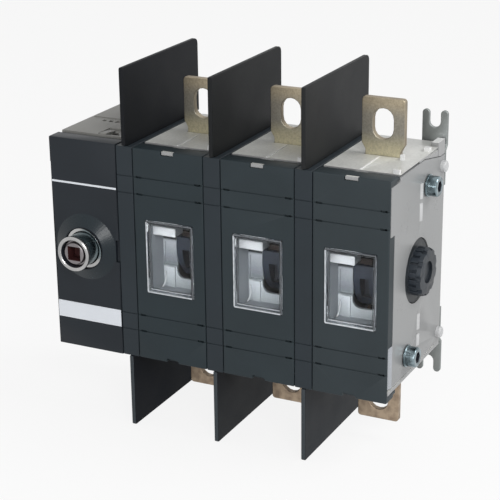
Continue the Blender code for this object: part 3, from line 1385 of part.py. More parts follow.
def build_poles(root, rotor_pivot, skins):
    """Everything that belongs to the three poles."""
    offsets = pole_offsets()
    fixed = (
        ("barrier_holder", build_holder, "holder"), ("pole_case", build_case, "grey"),
        ("pole_cover", build_cover, "cover"), ("inspection_window", build_window, "clear"),
    )
    for stem, build, skin in fixed:
        first = place(build(), f"{stem}_1", skins[skin], root)
        repeat(first, numbered(stem), offsets)
    for stem, build, skin, turn in (
        ("terminal", build_terminal, "brass", mirrored), ("phase_barrier", build_barrier, "barrier", mirrored),
        ("arc_chute", build_chute, "steel", turned_about_axis),
    ):
        upper = build()
        lower = turn(upper)
        repeat(place(upper, f"{stem}_upper_1", skins[skin], root), numbered(f"{stem}_upper"), offsets)
        repeat(place(lower, f"{stem}_lower_1", skins[skin], root), numbered(f"{stem}_lower"), offsets)
    for stem, build, skin in (
        ("contact_rotor", build_rotor, "black"), ("moving_contact", build_knife, "copper"),
        ("shaft_link", build_link, "steel"),
    ):
        first = place(build(), f"{stem}_1", skins[skin], rotor_pivot)
        repeat(first, numbered(stem), offsets)


def build_ends(root, rotor_pivot, skins):
    """The end plate, the coupling end, the tie bolts and the mounting feet."""
    place(build_end_plate(), "end_plate", skins["grey"], root)
    place(build_coupling(), "coupling_end", skins["black"], rotor_pivot)
    for name, place_ in zip(("tie_bolt_upper", "tie_bolt_lower"), bolt_places()):
        place(build_bolt(place_), name, skins["zinc"], root)
    for side, left in (("left", -MECHANISM_WIDTH), ("right", SWITCH_RIGHT - FOOT_WIDTH)):
        upper = build_foot(left)
        lower = mirrored(upper, LOWER_FOOT_SHIFT / 2)
        place(upper, f"mounting_foot_upper_{side}", skins["zinc"], root)
        place(lower, f"mounting_foot_lower_{side}", skins["zinc"], root)


def build_mechanism(root, shaft_pivot, rotor_pivot, skins):
    """The mechanism's shell, shaft, gears and spring."""
    place(build_mechanism_case(), "mechanism_case", skins["grey"], root)
    place(build_mechanism_cover(), "mechanism_cover", skins["mechanism"], root)
    stripe, label = build_markings()
    place(stripe, "marking_line", skins["white"], root)
    place(label, "marking_plate", skins["white"], root)
    place(build_collar(), "shaft_bush", skins["black"], root)
    place(build_washer(), "spring_washer", skins["chrome"], root)
    place(build_bearing_plate(), "bearing_plate", skins["steel"], root)
    place(build_spring(), "toggle_spring", skins["steel"], root)
    place(build_shaft(), "operating_shaft", skins["zinc"], shaft_pivot)
    place(build_socket(), "shaft_socket", skins["chrome"], shaft_pivot)
    place(build_drive_gear(), "drive_gear", skins["steel"], shaft_pivot)
    place(build_driven_gear(), "driven_gear", skins["steel"], rotor_pivot)


def stand_on_floor(root):
    """Move the device so that the middle of its base is the origin."""
    bpy.context.view_layer.update()
    corners = [
        solid.matrix_world @ Vector(corner)
        for solid in bpy.data.objects if solid.type == "MESH" for corner in solid.bound_box
    ]
    low = [min(corner[i] for corner in corners) for i in range(3)]
    high = [max(corner[i] for corner in corners) for i in range(3)]
    root.location = (-(low[0] + high[0]) / 2, -(low[1] + high[1]) / 2, -low[2])


def main():
    """Build the switch."""
    clear_scene()
    root = empty("disconnect_switch")
    shaft_pivot = empty("operating_shaft_axis", root, (SHAFT_X, 0, 0))
    rotor_pivot = empty("switching_axis", root, (0, AXIS_DEPTH, 0))
    skins = build_finishes()
    build_mechanism(root, shaft_pivot, rotor_pivot, skins)
    build_poles(root, rotor_pivot, skins)
    build_ends(root, rotor_pivot, skins)
    stand_on_floor(root)


main()
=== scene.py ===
"""Looks of a three-pole disconnect switch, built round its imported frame."""

import logging
import math
from collections.abc import Callable
from dataclasses import dataclass, field
from enum import Enum

import bmesh
import bpy
import numpy as np
from mathutils import Matrix, Vector

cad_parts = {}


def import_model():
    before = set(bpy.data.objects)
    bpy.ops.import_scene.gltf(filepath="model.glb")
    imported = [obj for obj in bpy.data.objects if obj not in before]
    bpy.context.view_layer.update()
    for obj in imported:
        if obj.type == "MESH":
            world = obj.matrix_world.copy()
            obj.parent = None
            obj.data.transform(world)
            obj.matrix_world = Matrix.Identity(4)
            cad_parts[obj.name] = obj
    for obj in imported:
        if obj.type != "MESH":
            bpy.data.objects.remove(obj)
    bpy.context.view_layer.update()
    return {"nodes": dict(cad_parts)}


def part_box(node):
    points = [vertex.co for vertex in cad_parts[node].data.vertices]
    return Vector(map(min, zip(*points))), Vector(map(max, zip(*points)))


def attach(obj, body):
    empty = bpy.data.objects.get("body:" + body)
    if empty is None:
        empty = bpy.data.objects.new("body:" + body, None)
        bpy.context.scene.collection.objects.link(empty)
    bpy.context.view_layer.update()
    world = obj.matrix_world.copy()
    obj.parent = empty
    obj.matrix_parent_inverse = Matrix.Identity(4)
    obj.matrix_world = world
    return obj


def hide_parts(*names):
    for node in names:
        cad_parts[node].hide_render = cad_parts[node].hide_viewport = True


LOG = logging.getLogger("switch_looks")

# The angle in degrees from which an edge counts as sharp, on solids and on beads
SHARP_EDGE = 32.0
SHARP_BEAD = 60.0
# A face looks along an axis where that part of its normal is larger than this
FACING = 0.5
# Points round a bead, and the length in points and the least size of its narrow tip
BEAD_SIDES = 12
TIP_POINTS = 3.0
TIP_SIZE = 0.05
# How strongly a relief turns the light
RELIEF = 0.6

Colour = tuple[float, float, float]
Point = tuple[float, float, float]
Pair = tuple[float, float]
Stops = tuple[tuple[float, Colour], ...]
FacePick = Callable[[np.ndarray, np.ndarray], np.ndarray]
Tree = bpy.types.NodeTree
Socket = bpy.types.NodeSocket
Material = bpy.types.Material
Piece = bpy.types.Object


class Body(Enum):
    """The rigid groups of the switch."""

    HOUSING = "switch_body"
    SHAFT = "operating_shaft"
    CONTACTS = "contact_shaft"


# Surfaces


def put_mesh(name: str, points: np.ndarray, faces: np.ndarray) -> Piece:
    """Put whole arrays of points and faces into a new linked object.

    Args:
        name: The object's name.
        points: The vertices, one row each, in metres.
        faces: The vertex numbers of four-sided faces, one row each.

    Returns:
        The new object, standing at the origin.
    """
    mesh = bpy.data.meshes.new(name)
    mesh.from_pydata(points.tolist(), [], faces.tolist())
    mesh.validate()
    made = bpy.data.objects.new(name, mesh)
    bpy.context.scene.collection.objects.link(made)
    return made


def tube_faces(rings: int, columns: int, closed: bool) -> np.ndarray:
    """Faces of a tube whose points are kept ring after ring.

    Args:
        rings: How many rings there are.
        columns: How many points a ring has.
        closed: Whether the last ring joins the first.

    Returns:
        The four vertex numbers of each face.
    """
    count = rings if closed else rings - 1
    ring, column = np.meshgrid(np.arange(count), np.arange(columns), indexing="ij")
    here, beyond = ring * columns, (ring + 1) % rings * columns
    beside = (column + 1) % columns
    return np.stack([here + column, here + beside, beyond + beside, beyond + column], axis=-1).reshape(-1, 4)


def bead(name: str, path: np.ndarray, normal: Point, half: Pair, closed: bool) -> Piece:
    """A bead of elliptic section along a flat path.

    A point of the bead is the path's point, plus half[0] * cos(turn) across the path in its plane, plus
    half[1] * sin(turn) along the plane's normal, for a turn from 0 to 360 degrees. The ends of an open bead
    narrow towards a point.

    Args:
        name: The object's name.
        path: The path's points, one row each, in metres.
        normal: The unit normal of the path's plane.
        half: Half the bead's width and half its height, in metres.
        closed: Whether the path closes on itself.

    Returns:
        The new object.
    """
    if closed:
        along = np.roll(path, -1, axis=0) - np.roll(path, 1, axis=0)
        size = np.ones(len(path))
    else:
        along = np.gradient(path, axis=0)
        rank = np.arange(len(path))
        size = np.clip(np.minimum(rank, rank[::-1]) / TIP_POINTS + TIP_SIZE, 0.0, 1.0)
    across = np.cross(along, normal)
    across /= np.linalg.norm(across, axis=1, keepdims=True)
    turn = np.linspace(0.0, 2.0 * np.pi, BEAD_SIDES, endpoint=False)
    wide = half[0] * np.cos(turn)[None, :, None] * across[:, None, :]
    tall = half[1] * np.sin(turn)[None, :, None] * np.asarray(normal, float)[None, None, :]
    points = path[:, None, :] + (wide + tall) * size[:, None, None]
    made = put_mesh(name, points.reshape(-1, 3), tube_faces(len(path), len(turn), closed))
    close_and_turn_out(made)
    shade(made, SHARP_BEAD)
    return made


def rounded_frame(
    low: Point, high: Point, inset: float, corner: float, depth: float, steps: int = 6,
) -> np.ndarray:
    """Points round an upright rectangle with round corners, all at one depth.

    Each corner is a quarter circle: its centre plus the radius times (cos, sin) of angles that run on from
    one corner to the next.

    Args:
        low: The lowest corner of the box that the rectangle stands in.
        high: The highest corner of that box.
        inset: How far the rectangle lies inside the box, in metres.
        corner: The radius of its corners, in metres.
        depth: Its place along Y, in metres.
        steps: How many points a corner has.

    Returns:
        The points, one row each.
    """
    x = np.array([high[0] - inset - corner, low[0] + inset + corner])
    z = np.array([high[2] - inset - corner, low[2] + inset + corner])
    centres = np.stack([x[[0, 1, 1, 0]], z[[0, 0, 1, 1]]], axis=-1)[:, None, :]
    angles = np.linspace(0.0, np.pi / 2, steps)[None, :] + np.arange(4)[:, None] * np.pi / 2
    flat = (centres + corner * np.stack([np.cos(angles), np.sin(angles)], axis=-1)).reshape(-1, 2)
    return np.stack([flat[:, 0], np.full(len(flat), depth), flat[:, 1]], axis=-1)


def side_arc(centre: Point, radius: float, start: float, end: float, steps: int = 22) -> np.ndarray:
    """Points on an arc that lies flat on a side wall: the centre plus the radius times (0, cos, sin).

    Args:
        centre: The arc's centre, in metres.
        radius: Its radius, in metres.
        start: The first angle, in degrees, counted from the back upwards.
        end: The last angle, in degrees.
        steps: How many points it has.

    Returns:
        The points, one row each.
    """
    angles = np.radians(np.linspace(start, end, steps))
    return np.asarray(centre) + radius * np.stack([np.zeros(steps), np.cos(angles), np.sin(angles)], axis=-1)


def close_and_turn_out(piece: Piece) -> None:
    """Close the open ends of a piece's mesh and turn its faces outwards.

    Args:
        piece: The piece.
    """
    bm = bmesh.new()
    bm.from_mesh(piece.data)
    bmesh.ops.holes_fill(bm, edges=bm.edges, sides=0)
    bmesh.ops.recalc_face_normals(bm, faces=bm.faces)
    bm.to_mesh(piece.data)
    bm.free()


def shade(piece: Piece, angle: float) -> None:
    """Shade a piece smooth, with edges sharper than an angle in degrees kept sharp."""
    piece.data.shade_smooth()
    piece.data.set_sharp_from_angle(angle=math.radians(angle))


def between(values: np.ndarray, low: float, high: float) -> np.ndarray:
    """Which values lie between two limits."""
    return (values > low) & (values < high)


# Shared effects


def new_group(name: str, inputs: dict[str, tuple[str, object]], outputs: dict[str, str]) -> Tree:
    """Make an empty shader node group with named sockets.

    Args:
        name: The group's name.
        inputs: Socket type and starting value by input name.
        outputs: Socket type by output name.

    Returns:
        The group's node tree, with its input and output nodes in it.
    """
    tree = bpy.data.node_groups.new(name, "ShaderNodeTree")
    for label, (kind, value) in inputs.items():
        socket = tree.interface.new_socket(label, in_out="INPUT", socket_type=kind)
        socket.default_value = value
    for label, kind in outputs.items():
        tree.interface.new_socket(label, in_out="OUTPUT", socket_type=kind)
    tree.nodes.new("NodeGroupInput").name = "in"
    tree.nodes.new("NodeGroupOutput").name = "out"
    return tree


def math_node(tree: Tree, operation: str, *operands: object) -> Socket:
    """A math node whose operands are each a socket or a number.

    Args:
        tree: The tree that takes the node.
        operation: Blender's name of the operation.
        operands: The operands in order.

    Returns:
        The result's socket.
    """
    node = tree.nodes.new("ShaderNodeMath")
    node.operation = operation
    for socket, value in zip(node.inputs, operands):
        if isinstance(value, Socket):
            tree.links.new(value, socket)
        else:
            socket.default_value = value
    return node.outputs[0]


def noise_node(tree: Tree, place: Socket, scale: object, detail: float) -> Socket:
    """A noise pattern's strength.

    Args:
        tree: The tree that takes the node.
        place: The coordinates that the pattern reads.
        scale: Its scale, a socket or a number.
        detail: How many finer layers it has.

    Returns:
        The pattern's socket, from 0 to 1.
    """
    node = tree.nodes.new("ShaderNodeTexNoise")
    node.inputs["Detail"].default_value = detail
    tree.links.new(place, node.inputs["Vector"])
    if isinstance(scale, Socket):
        tree.links.new(scale, node.inputs["Scale"])
    else:
        node.inputs["Scale"].default_value = scale
    return node.outputs["Fac"]


def spread_node(tree: Tree, value: Socket, low: float, high: float) -> Socket:
    """Spread a pattern's middle range over 0 to 1.

    Args:
        tree: The tree that takes the node.
        value: The pattern.
        low: The strength that becomes 0.
        high: The strength that becomes 1.

    Returns:
        The spread pattern's socket.
    """
    node = tree.nodes.new("ShaderNodeMapRange")
    node.inputs["From Min"].default_value = low
    node.inputs["From Max"].default_value = high
    tree.links.new(value, node.inputs["Value"])
    return node.outputs["Result"]


def blend_colours(tree: Tree, share: Socket, first: Socket, second: Socket) -> Socket:
    """Blend two colours.

    Args:
        tree: The tree that takes the node.
        share: 0 where the first colour shows and 1 where the second does.
        first: The first colour.
        second: The second colour.

    Returns:
        The blended colour's socket.
    """
    node = tree.nodes.new("ShaderNodeMix")
    node.data_type = "RGBA"
    tree.links.new(share, node.inputs["Factor"])
    tree.links.new(first, node.inputs["A"])
    tree.links.new(second, node.inputs["B"])
    return node.outputs["Result"]


FINISH_OUTPUTS = {"Colour": "NodeSocketColor", "Roughness": "NodeSocketFloat", "Height": "NodeSocketFloat"}


@dataclass
class SurfaceEffects:
    """The effects that several finishes share, each a node group made once."""

    grain_share: float = 0.45
    grain_range: Pair = (0.35, 0.65)
    line_share: float = 0.30
    stain_range: Pair = (0.38, 0.64)
    grain_detail: float = 3.0
    cloud_detail: float = 4.0
    line_detail: float = 2.0
    stain_detail: float = 6.0
    relief_scale: float = 1500.0
    relief_detail: float = 2.0
    patch_scale: float = 1300.0
    patch_detail: float = 8.0
    patch_roughness: float = 0.10
    groups: dict[str, Tree] = field(default_factory=dict)

    def grain(self) -> Tree:
        """Fine moulded grain with slow cloudy tone: two noises added at two scales.

        Returns:
            The group.
        """
        if "grain" not in self.groups:
            tree = new_group(
                "moulded_grain",
                {
                    "Colour": ("NodeSocketColor", (0.5, 0.5, 0.5, 1.0)),
                    "Pale": ("NodeSocketColor", (0.6, 0.6, 0.6, 1.0)),
                    "Grain Scale": ("NodeSocketFloat", 2500.0),
                    "Cloud Scale": ("NodeSocketFloat", 40.0),
                    "Roughness": ("NodeSocketFloat", 0.5),
                    "Variation": ("NodeSocketFloat", 0.1),
                },
                FINISH_OUTPUTS,
            )
            nodes, links = tree.nodes, tree.links
            entry, leave = nodes["in"].outputs, nodes["out"].inputs
            place = nodes.new("ShaderNodeTexCoord").outputs["Object"]
            fine = noise_node(tree, place, entry["Grain Scale"], self.grain_detail)
            cloud = noise_node(tree, place, entry["Cloud Scale"], self.cloud_detail)
            slow = math_node(tree, "MULTIPLY", cloud, 1.0 - self.grain_share)
            both = math_node(tree, "MULTIPLY_ADD", fine, self.grain_share, slow)
            tone = spread_node(tree, both, *self.grain_range)
            links.new(blend_colours(tree, tone, entry["Colour"], entry["Pale"]), leave["Colour"])
            swing = math_node(tree, "SUBTRACT", tone, 0.5)
            rough = math_node(tree, "MULTIPLY_ADD", swing, entry["Variation"], entry["Roughness"])
            links.new(rough, leave["Roughness"])
            links.new(fine, leave["Height"])
            self.groups["grain"] = tree
        return self.groups["grain"]

    def drawn(self) -> Tree:
        """Drawn metal with stains: noise stretched along one direction, over slow blotches.

        Returns:
            The group.
        """
        if "drawn" not in self.groups:
            tree = new_group(
                "drawn_metal",
                {
                    "Colour": ("NodeSocketColor", (0.5, 0.5, 0.5, 1.0)),
                    "Stain": ("NodeSocketColor", (0.3, 0.3, 0.3, 1.0)),
                    "Stretch": ("NodeSocketVector", (1.0, 1.0, 0.05)),
                    "Line Scale": ("NodeSocketFloat", 1500.0),
                    "Stain Scale": ("NodeSocketFloat", 90.0),
                    "Roughness": ("NodeSocketFloat", 0.35),
                    "Variation": ("NodeSocketFloat", 0.2),
                },
                FINISH_OUTPUTS,
            )
            nodes, links = tree.nodes, tree.links
            entry, leave = nodes["in"].outputs, nodes["out"].inputs
            place = nodes.new("ShaderNodeTexCoord").outputs["Object"]
            stretched = nodes.new("ShaderNodeVectorMath")
            stretched.operation = "MULTIPLY"
            links.new(place, stretched.inputs[0])
            links.new(entry["Stretch"], stretched.inputs[1])
            lines = noise_node(tree, stretched.outputs["Vector"], entry["Line Scale"], self.line_detail)
            blotches = noise_node(tree, place, entry["Stain Scale"], self.stain_detail)
            stain = spread_node(tree, blotches, *self.stain_range)
            slow = math_node(tree, "MULTIPLY", stain, 1.0 - self.line_share)
            total = math_node(tree, "MULTIPLY_ADD", lines, self.line_share, slow)
            links.new(blend_colours(tree, total, entry["Colour"], entry["Stain"]), leave["Colour"])
            rough = math_node(tree, "MULTIPLY_ADD", total, entry["Variation"], entry["Roughness"])
            links.new(rough, leave["Roughness"])
            links.new(lines, leave["Height"])
            self.groups["drawn"] = tree
        return self.groups["drawn"]

    def graded(self, name: str, stops: Stops) -> Tree:
        """A tone that changes with the height in the object, with a faint grain.

        Args:
            name: The name of the finish.
            stops: The tones in rising order, from 0 at the low level to 1 at the high level.

        Returns:
            The group.
        """
        if name not in self.groups:
            tree = new_group(
                f"graded_{name}",
                {
                    "Low": ("NodeSocketFloat", 0.0),
                    "High": ("NodeSocketFloat", 1.0),
                    "Mottling": ("NodeSocketFloat", 0.1),
                    "Roughness": ("NodeSocketFloat", 0.4),
                },
                FINISH_OUTPUTS,
            )
            nodes, links = tree.nodes, tree.links
            entry, leave = nodes["in"].outputs, nodes["out"].inputs
            place = nodes.new("ShaderNodeTexCoord").outputs["Object"]
            apart = nodes.new("ShaderNodeSeparateXYZ")
            links.new(place, apart.inputs["Vector"])
            span = math_node(tree, "SUBTRACT", entry["High"], entry["Low"])
            above = math_node(tree, "SUBTRACT", apart.outputs["Z"], entry["Low"])
            ramp = nodes.new("ShaderNodeValToRGB")
            steps = ramp.color_ramp.elements
            for at, _ in stops[1:-1]:
                steps.new(at)
            for step, (at, colour) in zip(steps, stops):
                step.position, step.color = at, opaque(colour)
            links.new(math_node(tree, "DIVIDE", above, span), ramp.inputs["Fac"])
            mottling = noise_node(tree, place, self.patch_scale, self.patch_detail)
            patches = spread_node(tree, mottling, *self.stain_range)
            loss = math_node(tree, "MULTIPLY", patches, entry["Mottling"])
            dim = nodes.new("ShaderNodeVectorMath")
            dim.operation = "SCALE"
            links.new(ramp.outputs["Color"], dim.inputs[0])
            links.new(math_node(tree, "SUBTRACT", 1.0, loss), dim.inputs["Scale"])
            links.new(dim.outputs["Vector"], leave["Colour"])
            rough = math_node(tree, "MULTIPLY_ADD", patches, self.patch_roughness, entry["Roughness"])
            links.new(rough, leave["Roughness"])
            links.new(noise_node(tree, place, self.relief_scale, self.relief_detail), leave["Height"])
            self.groups[name] = tree
        return self.groups[name]


EFFECTS = SurfaceEffects()


def principled(name: str) -> tuple[Material, bpy.types.ShaderNode]:
    """Make a node material.

    Args:
        name: The material's name.

    Returns:
        The material and its Principled shader.
    """
    material = bpy.data.materials.new(name)
    material.use_nodes = True
    return material, material.node_tree.nodes["Principled BSDF"]


def place_effect(material: Material, group: Tree, values: dict[str, object], bump: float) -> None:
    """Put a shared effect into a material and link it to the Principled shader.

    Args:
        material: The material.
        group: The effect's node group.
        values: The group's input values by name.
        bump: The height of the relief, in metres.
    """
    tree = material.node_tree
    shader = tree.nodes["Principled BSDF"]
    node = tree.nodes.new("ShaderNodeGroup")
    node.node_tree = group
    for label, value in values.items():
        node.inputs[label].default_value = value
    relief = tree.nodes.new("ShaderNodeBump")
    relief.inputs["Distance"].default_value = bump
    relief.inputs["Strength"].default_value = RELIEF
    tree.links.new(node.outputs["Colour"], shader.inputs["Base Color"])
    tree.links.new(node.outputs["Roughness"], shader.inputs["Roughness"])
    tree.links.new(node.outputs["Height"], relief.inputs["Height"])
    tree.links.new(relief.outputs["Normal"], shader.inputs["Normal"])


def opaque(colour: Colour) -> tuple[float, float, float, float]:
    """A colour with full alpha."""
    return (*colour, 1.0)


def paler(colour: Colour, share: float) -> Colour:
    """A colour made paler, or darker where the share is below zero."""
    return tuple(min(1.0, max(0.0, part * (1.0 + share))) for part in colour)


# Finishes


@dataclass(frozen=True)
class Moulding:
    """Moulded plastic with a fine grain."""

    name: str
    slot: str
    colour: Colour
    roughness: float = 0.5
    contrast: float = 0.10
    specular: float = 0.22
    bump: float = 0.00002
    grain: float = 2600.0
    cloud: float = 60.0
    variation: float = 0.12

    def material(self) -> Material:
        """Make the finish's material.

        Returns:
            The material.
        """
        material, shader = principled(self.name)
        place_effect(material, EFFECTS.grain(), {
            "Colour": opaque(paler(self.colour, -self.contrast)),
            "Pale": opaque(paler(self.colour, self.contrast)),
            "Grain Scale": self.grain,
            "Cloud Scale": self.cloud,
            "Roughness": self.roughness,
            "Variation": self.variation,
        }, self.bump)
        shader.inputs["Specular IOR Level"].default_value = self.specular
        return material


@dataclass(frozen=True)
class Graded:
    """A surface whose tone changes with height, with mottling: painted light and shade on a deep chamber's
    wall, or a metal face lighter at its bottom and top.
    """

    name: str
    slot: str
    low: float
    high: float
    stops: Stops
    roughness: float = 0.4
    mottling: float = 0.1
    metal: bool = False
    specular: float = 0.3
    bump: float = 0.000008

    def material(self) -> Material:
        """Make the finish's material.

        Returns:
            The material.
        """
        material, shader = principled(self.name)
        place_effect(material, EFFECTS.graded(self.name, self.stops), {
            "Low": self.low,
            "High": self.high,
            "Mottling": self.mottling,
            "Roughness": self.roughness,
        }, self.bump)
        shader.inputs["Metallic"].default_value = float(self.metal)
        shader.inputs["Specular IOR Level"].default_value = self.specular
        return material


@dataclass(frozen=True)
class Plating:
    """Plated or bare metal, drawn along one direction and stained a little."""

    name: str
    slot: str
    colour: Colour
    stain: Colour
    roughness: float = 0.3
    variation: float = 0.15
    stretch: Point = (1.0, 1.0, 0.05)
    lines: float = 1500.0
    blotches: float = 90.0
    bump: float = 0.00001

    def material(self) -> Material:
        """Make the finish's material.

        Returns:
            The material.
        """
        material, shader = principled(self.name)
        place_effect(material, EFFECTS.drawn(), {
            "Colour": opaque(self.colour),
            "Stain": opaque(self.stain),
            "Stretch": self.stretch,
            "Line Scale": self.lines,
            "Stain Scale": self.blotches,
            "Roughness": self.roughness,
            "Variation": self.variation,
        }, self.bump)
        shader.inputs["Metallic"].default_value = 1.0
        return material


@dataclass(frozen=True)
class ClearPane:
    """Clear moulded plastic, a little dusty."""

    name: str
    slot: str
    colour: Colour
    roughness: float = 0.05
    ior: float = 1.2
    dust: float = 0.03
    grain: float = 900.0
    cloud: float = 80.0
    variation: float = 0.05
    bump: float = 0.000002

    def material(self) -> Material:
        """Make the finish's material.

        Returns:
            The material.
        """
        material, shader = principled(self.name)
        place_effect(material, EFFECTS.grain(), {
            "Colour": opaque(paler(self.colour, -self.dust)),
            "Pale": opaque(self.colour),
            "Grain Scale": self.grain,
            "Cloud Scale": self.cloud,
            "Roughness": self.roughness,
            "Variation": self.variation,
        }, self.bump)
        shader.inputs["Transmission Weight"].default_value = 1.0
        shader.inputs["IOR"].default_value = self.ior
        return material


def barrier_sheet(name: str, colour: Colour, specular: float) -> Moulding:
    """The finish of a phase barrier; its copies carry painted light, lighter and shinier the further right
    they stand.
    """
    return Moulding(name, "barrier", colour, 0.55, 0.16, specular, bump=0.00003, grain=1800.0)


def smooth_grey(name: str, colour: Colour, roughness: float, contrast: float) -> Moulding:
    """The finish of a smooth light grey moulding."""
    return Moulding(name, "light_grey", colour, roughness, contrast, specular=0.50, bump=0.000008)


class Finish(Enum):
    """Every finish of the switch. Poles, barriers and covers grow lighter from left to right, as painted
    light.
    """

    # Painted light: the three covers are lit copies of one slate moulding, lighter towards the right.
    COVER_LEFT = Moulding("slate_cover_left", "dark_cover", (0.018, 0.027, 0.032))
    COVER_MIDDLE = Moulding("slate_cover_middle", "dark_cover", (0.021, 0.030, 0.035))
    COVER_RIGHT = Moulding("slate_cover_right", "dark_cover", (0.026, 0.035, 0.040))
    MECHANISM = Moulding("dark_cover", "mechanism_cover", (0.014, 0.018, 0.023), roughness=0.46)
    BOSS = Moulding("glossy_boss", "mechanism_cover", (0.007, 0.014, 0.019), roughness=0.26, specular=0.32)
    HOLDER = Moulding("slate_holder", "dark_holder", (0.020, 0.027, 0.033), roughness=0.52)
    # Painted light and shade: the sheets grow lighter and shinier to the right, and the lower sheets are
    # darker copies for the shade they stand in.
    SHEET_LEFT = barrier_sheet("barrier_sheet_left", (0.008, 0.009, 0.011), 0.12)
    SHEET_MIDDLE = barrier_sheet("barrier_sheet_middle", (0.010, 0.011, 0.012), 0.15)
    SHEET_RIGHT = barrier_sheet("barrier_sheet_right", (0.011, 0.012, 0.013), 0.20)
    LOW_SHEET_LEFT = barrier_sheet("barrier_low_left_painted_shade", (0.006, 0.008, 0.012), 0.05)
    LOW_SHEET_MIDDLE = barrier_sheet("barrier_low_middle_painted_shade", (0.009, 0.011, 0.014), 0.12)
    LOW_SHEET_RIGHT = barrier_sheet("barrier_low_right_painted_shade", (0.008, 0.011, 0.015), 0.18)
    # Painted light: the lower barriers' front edges, facing the light, paler than the sheets.
    LIT_SHEET_EDGE = Moulding("barrier_front_edge_painted_light", "barrier", (0.034, 0.042, 0.048), 0.45, specular=0.25)
    LIGHT_GREY = Moulding("light_grey_case", "light_grey", (0.300, 0.303, 0.305), 0.34, 0.04, 0.45)
    # Painted shade: the mechanism's top, the case's grey darkened for the barrier's shade.
    SHADED_MECHANISM_TOP = Moulding("warm_grey_top_painted_shade", "light_grey", (0.244, 0.241, 0.227), 0.50, 0.05, 0.30)
    # Painted light: the poles' tops, the case's grey made paler where the light falls from above.
    LIT_POLE_TOP = Moulding("pale_grey_top_painted_light", "light_grey", (0.620, 0.625, 0.600), 0.36, 0.14, 0.50, grain=900.0)
    BLOCK = smooth_grey("pale_block", (0.760, 0.765, 0.760), 0.30, 0.04)
    END_PLATE = smooth_grey("light_grey_plate", (0.255, 0.260, 0.262), 0.32, 0.04)
    # Painted light: the end plate's bevel, ribs and bumps, made paler than the plate.
    LIT_PLATE_EDGE = smooth_grey("pale_grey_edge_painted_light", (0.500, 0.505, 0.510), 0.30, 0.12)
    STRIP = smooth_grey("blue_grey_strip", (0.340, 0.360, 0.390), 0.24, 0.06)
    # Painted light: the chamber's shelf, the case's grey made paler.
    LIT_SHELF = smooth_grey("chamber_shelf_painted_light", (0.640, 0.655, 0.675), 0.30, 0.05)
    # Painted shade: the chamber's side walls, the case's grey darkened.
    SHADED_CHAMBER_SIDE = Moulding(
        "chamber_side_painted_shade", "light_grey", (0.255, 0.275, 0.295), 0.36, 0.06, 0.45, bump=0.000008,
    )
    # Painted light and shade on the chamber's back wall: pale panels, a dark band for the recess's shadow,
    # and near-black painted shadow from under the shelf to the top.
    CHAMBER = Graded("chamber_back_painted_light_and_shade", "light_grey", 0.0662, 0.1057, (
        (0.000, (0.36, 0.390, 0.410)),
        (0.240, (0.58, 0.610, 0.640)),
        (0.265, (0.20, 0.225, 0.235)),
        (0.360, (0.27, 0.290, 0.320)),
        (0.550, (0.50, 0.525, 0.560)),
        (0.575, (0.46, 0.485, 0.520)),
        (0.595, (0.04, 0.045, 0.050)),
        (1.000, (0.05, 0.056, 0.062)),
    ))
    WHITE = Moulding("white_print", "white_marking", (0.695, 0.725, 0.770), 0.5, 0.02, 0.3)
    BLACK = Moulding(
        "black_moulding", "black_moulding", (0.016, 0.018, 0.024), 0.40, 0.14, 0.35,
        bump=0.00003, grain=1600.0,
    )
    DRUM = Moulding(
        "blue_black_drum", "black_moulding", (0.022, 0.029, 0.044), 0.42, 0.12, 0.30, grain=1600.0,
    )
    COUPLING = Moulding(
        "dark_coupling", "black_moulding", (0.018, 0.023, 0.030), 0.42, 0.35, 0.24, bump=0.00035, grain=420.0,
    )
    FLANGE = Moulding(
        "dark_flange", "black_moulding", (0.022, 0.026, 0.030), 0.40, 0.40, 0.16, bump=0.00010, grain=700.0,
    )
    # Painted shade for deep holes, over the red-brown tone seen inside them.
    RECESS = Moulding(
        "red_brown_recess_painted_shade", "black_moulding", (0.045, 0.014, 0.014), 0.55, 0.40, 0.25,
        bump=0.00004, grain=1200.0,
    )
    # Painted highlight and painted shade: the window beads' bright sides and dim sides.
    BEAD = Moulding(
        "bright_edge_painted_highlight", "clear_window", (0.520, 0.550, 0.580), 0.22, 0.30, 0.60, bump=0.000006, grain=500.0,
    )
    SHADED_BEAD = Moulding(
        "dim_edge_painted_shade", "clear_window", (0.100, 0.110, 0.122), 0.22, 0.40, 0.60, bump=0.000006, grain=500.0,
    )
    CLEAR = ClearPane("clear_pane", "clear_window", (0.95, 0.97, 0.98))
    TERMINAL = Plating("dull_terminal", "terminal_plate", (0.420, 0.360, 0.265), (0.260, 0.225, 0.175), 0.44)
    # The terminal's front face: lighter at its bottom and top, darker in its middle, with mottling.
    TERMINAL_FACE = Graded("terminal_face_by_height", "terminal_plate", 0.1364, 0.1600, (
        (0.00, (0.660, 0.610, 0.430)),
        (0.18, (0.540, 0.490, 0.345)),
        (0.45, (0.335, 0.315, 0.268)),
        (0.75, (0.325, 0.300, 0.248)),
        (1.00, (0.440, 0.375, 0.270)),
    ), roughness=0.36, mottling=0.22, metal=True)
    LOW_TERMINAL = Plating(
        "warm_terminal", "terminal_plate", (0.440, 0.345, 0.250), (0.230, 0.175, 0.130),
        roughness=0.38, lines=900.0, blotches=300.0,
    )
    # Painted shade: the contact's copper darkened for the shade inside the chamber.
    COPPER = Plating(
        "dark_contact_painted_shade", "contact_copper", (0.060, 0.045, 0.041), (0.024, 0.020, 0.020), 0.34, 0.20,
    )
    ZINC = Plating("dull_zinc", "zinc_steel", (0.330, 0.350, 0.345), (0.240, 0.256, 0.254), 0.46, 0.12)
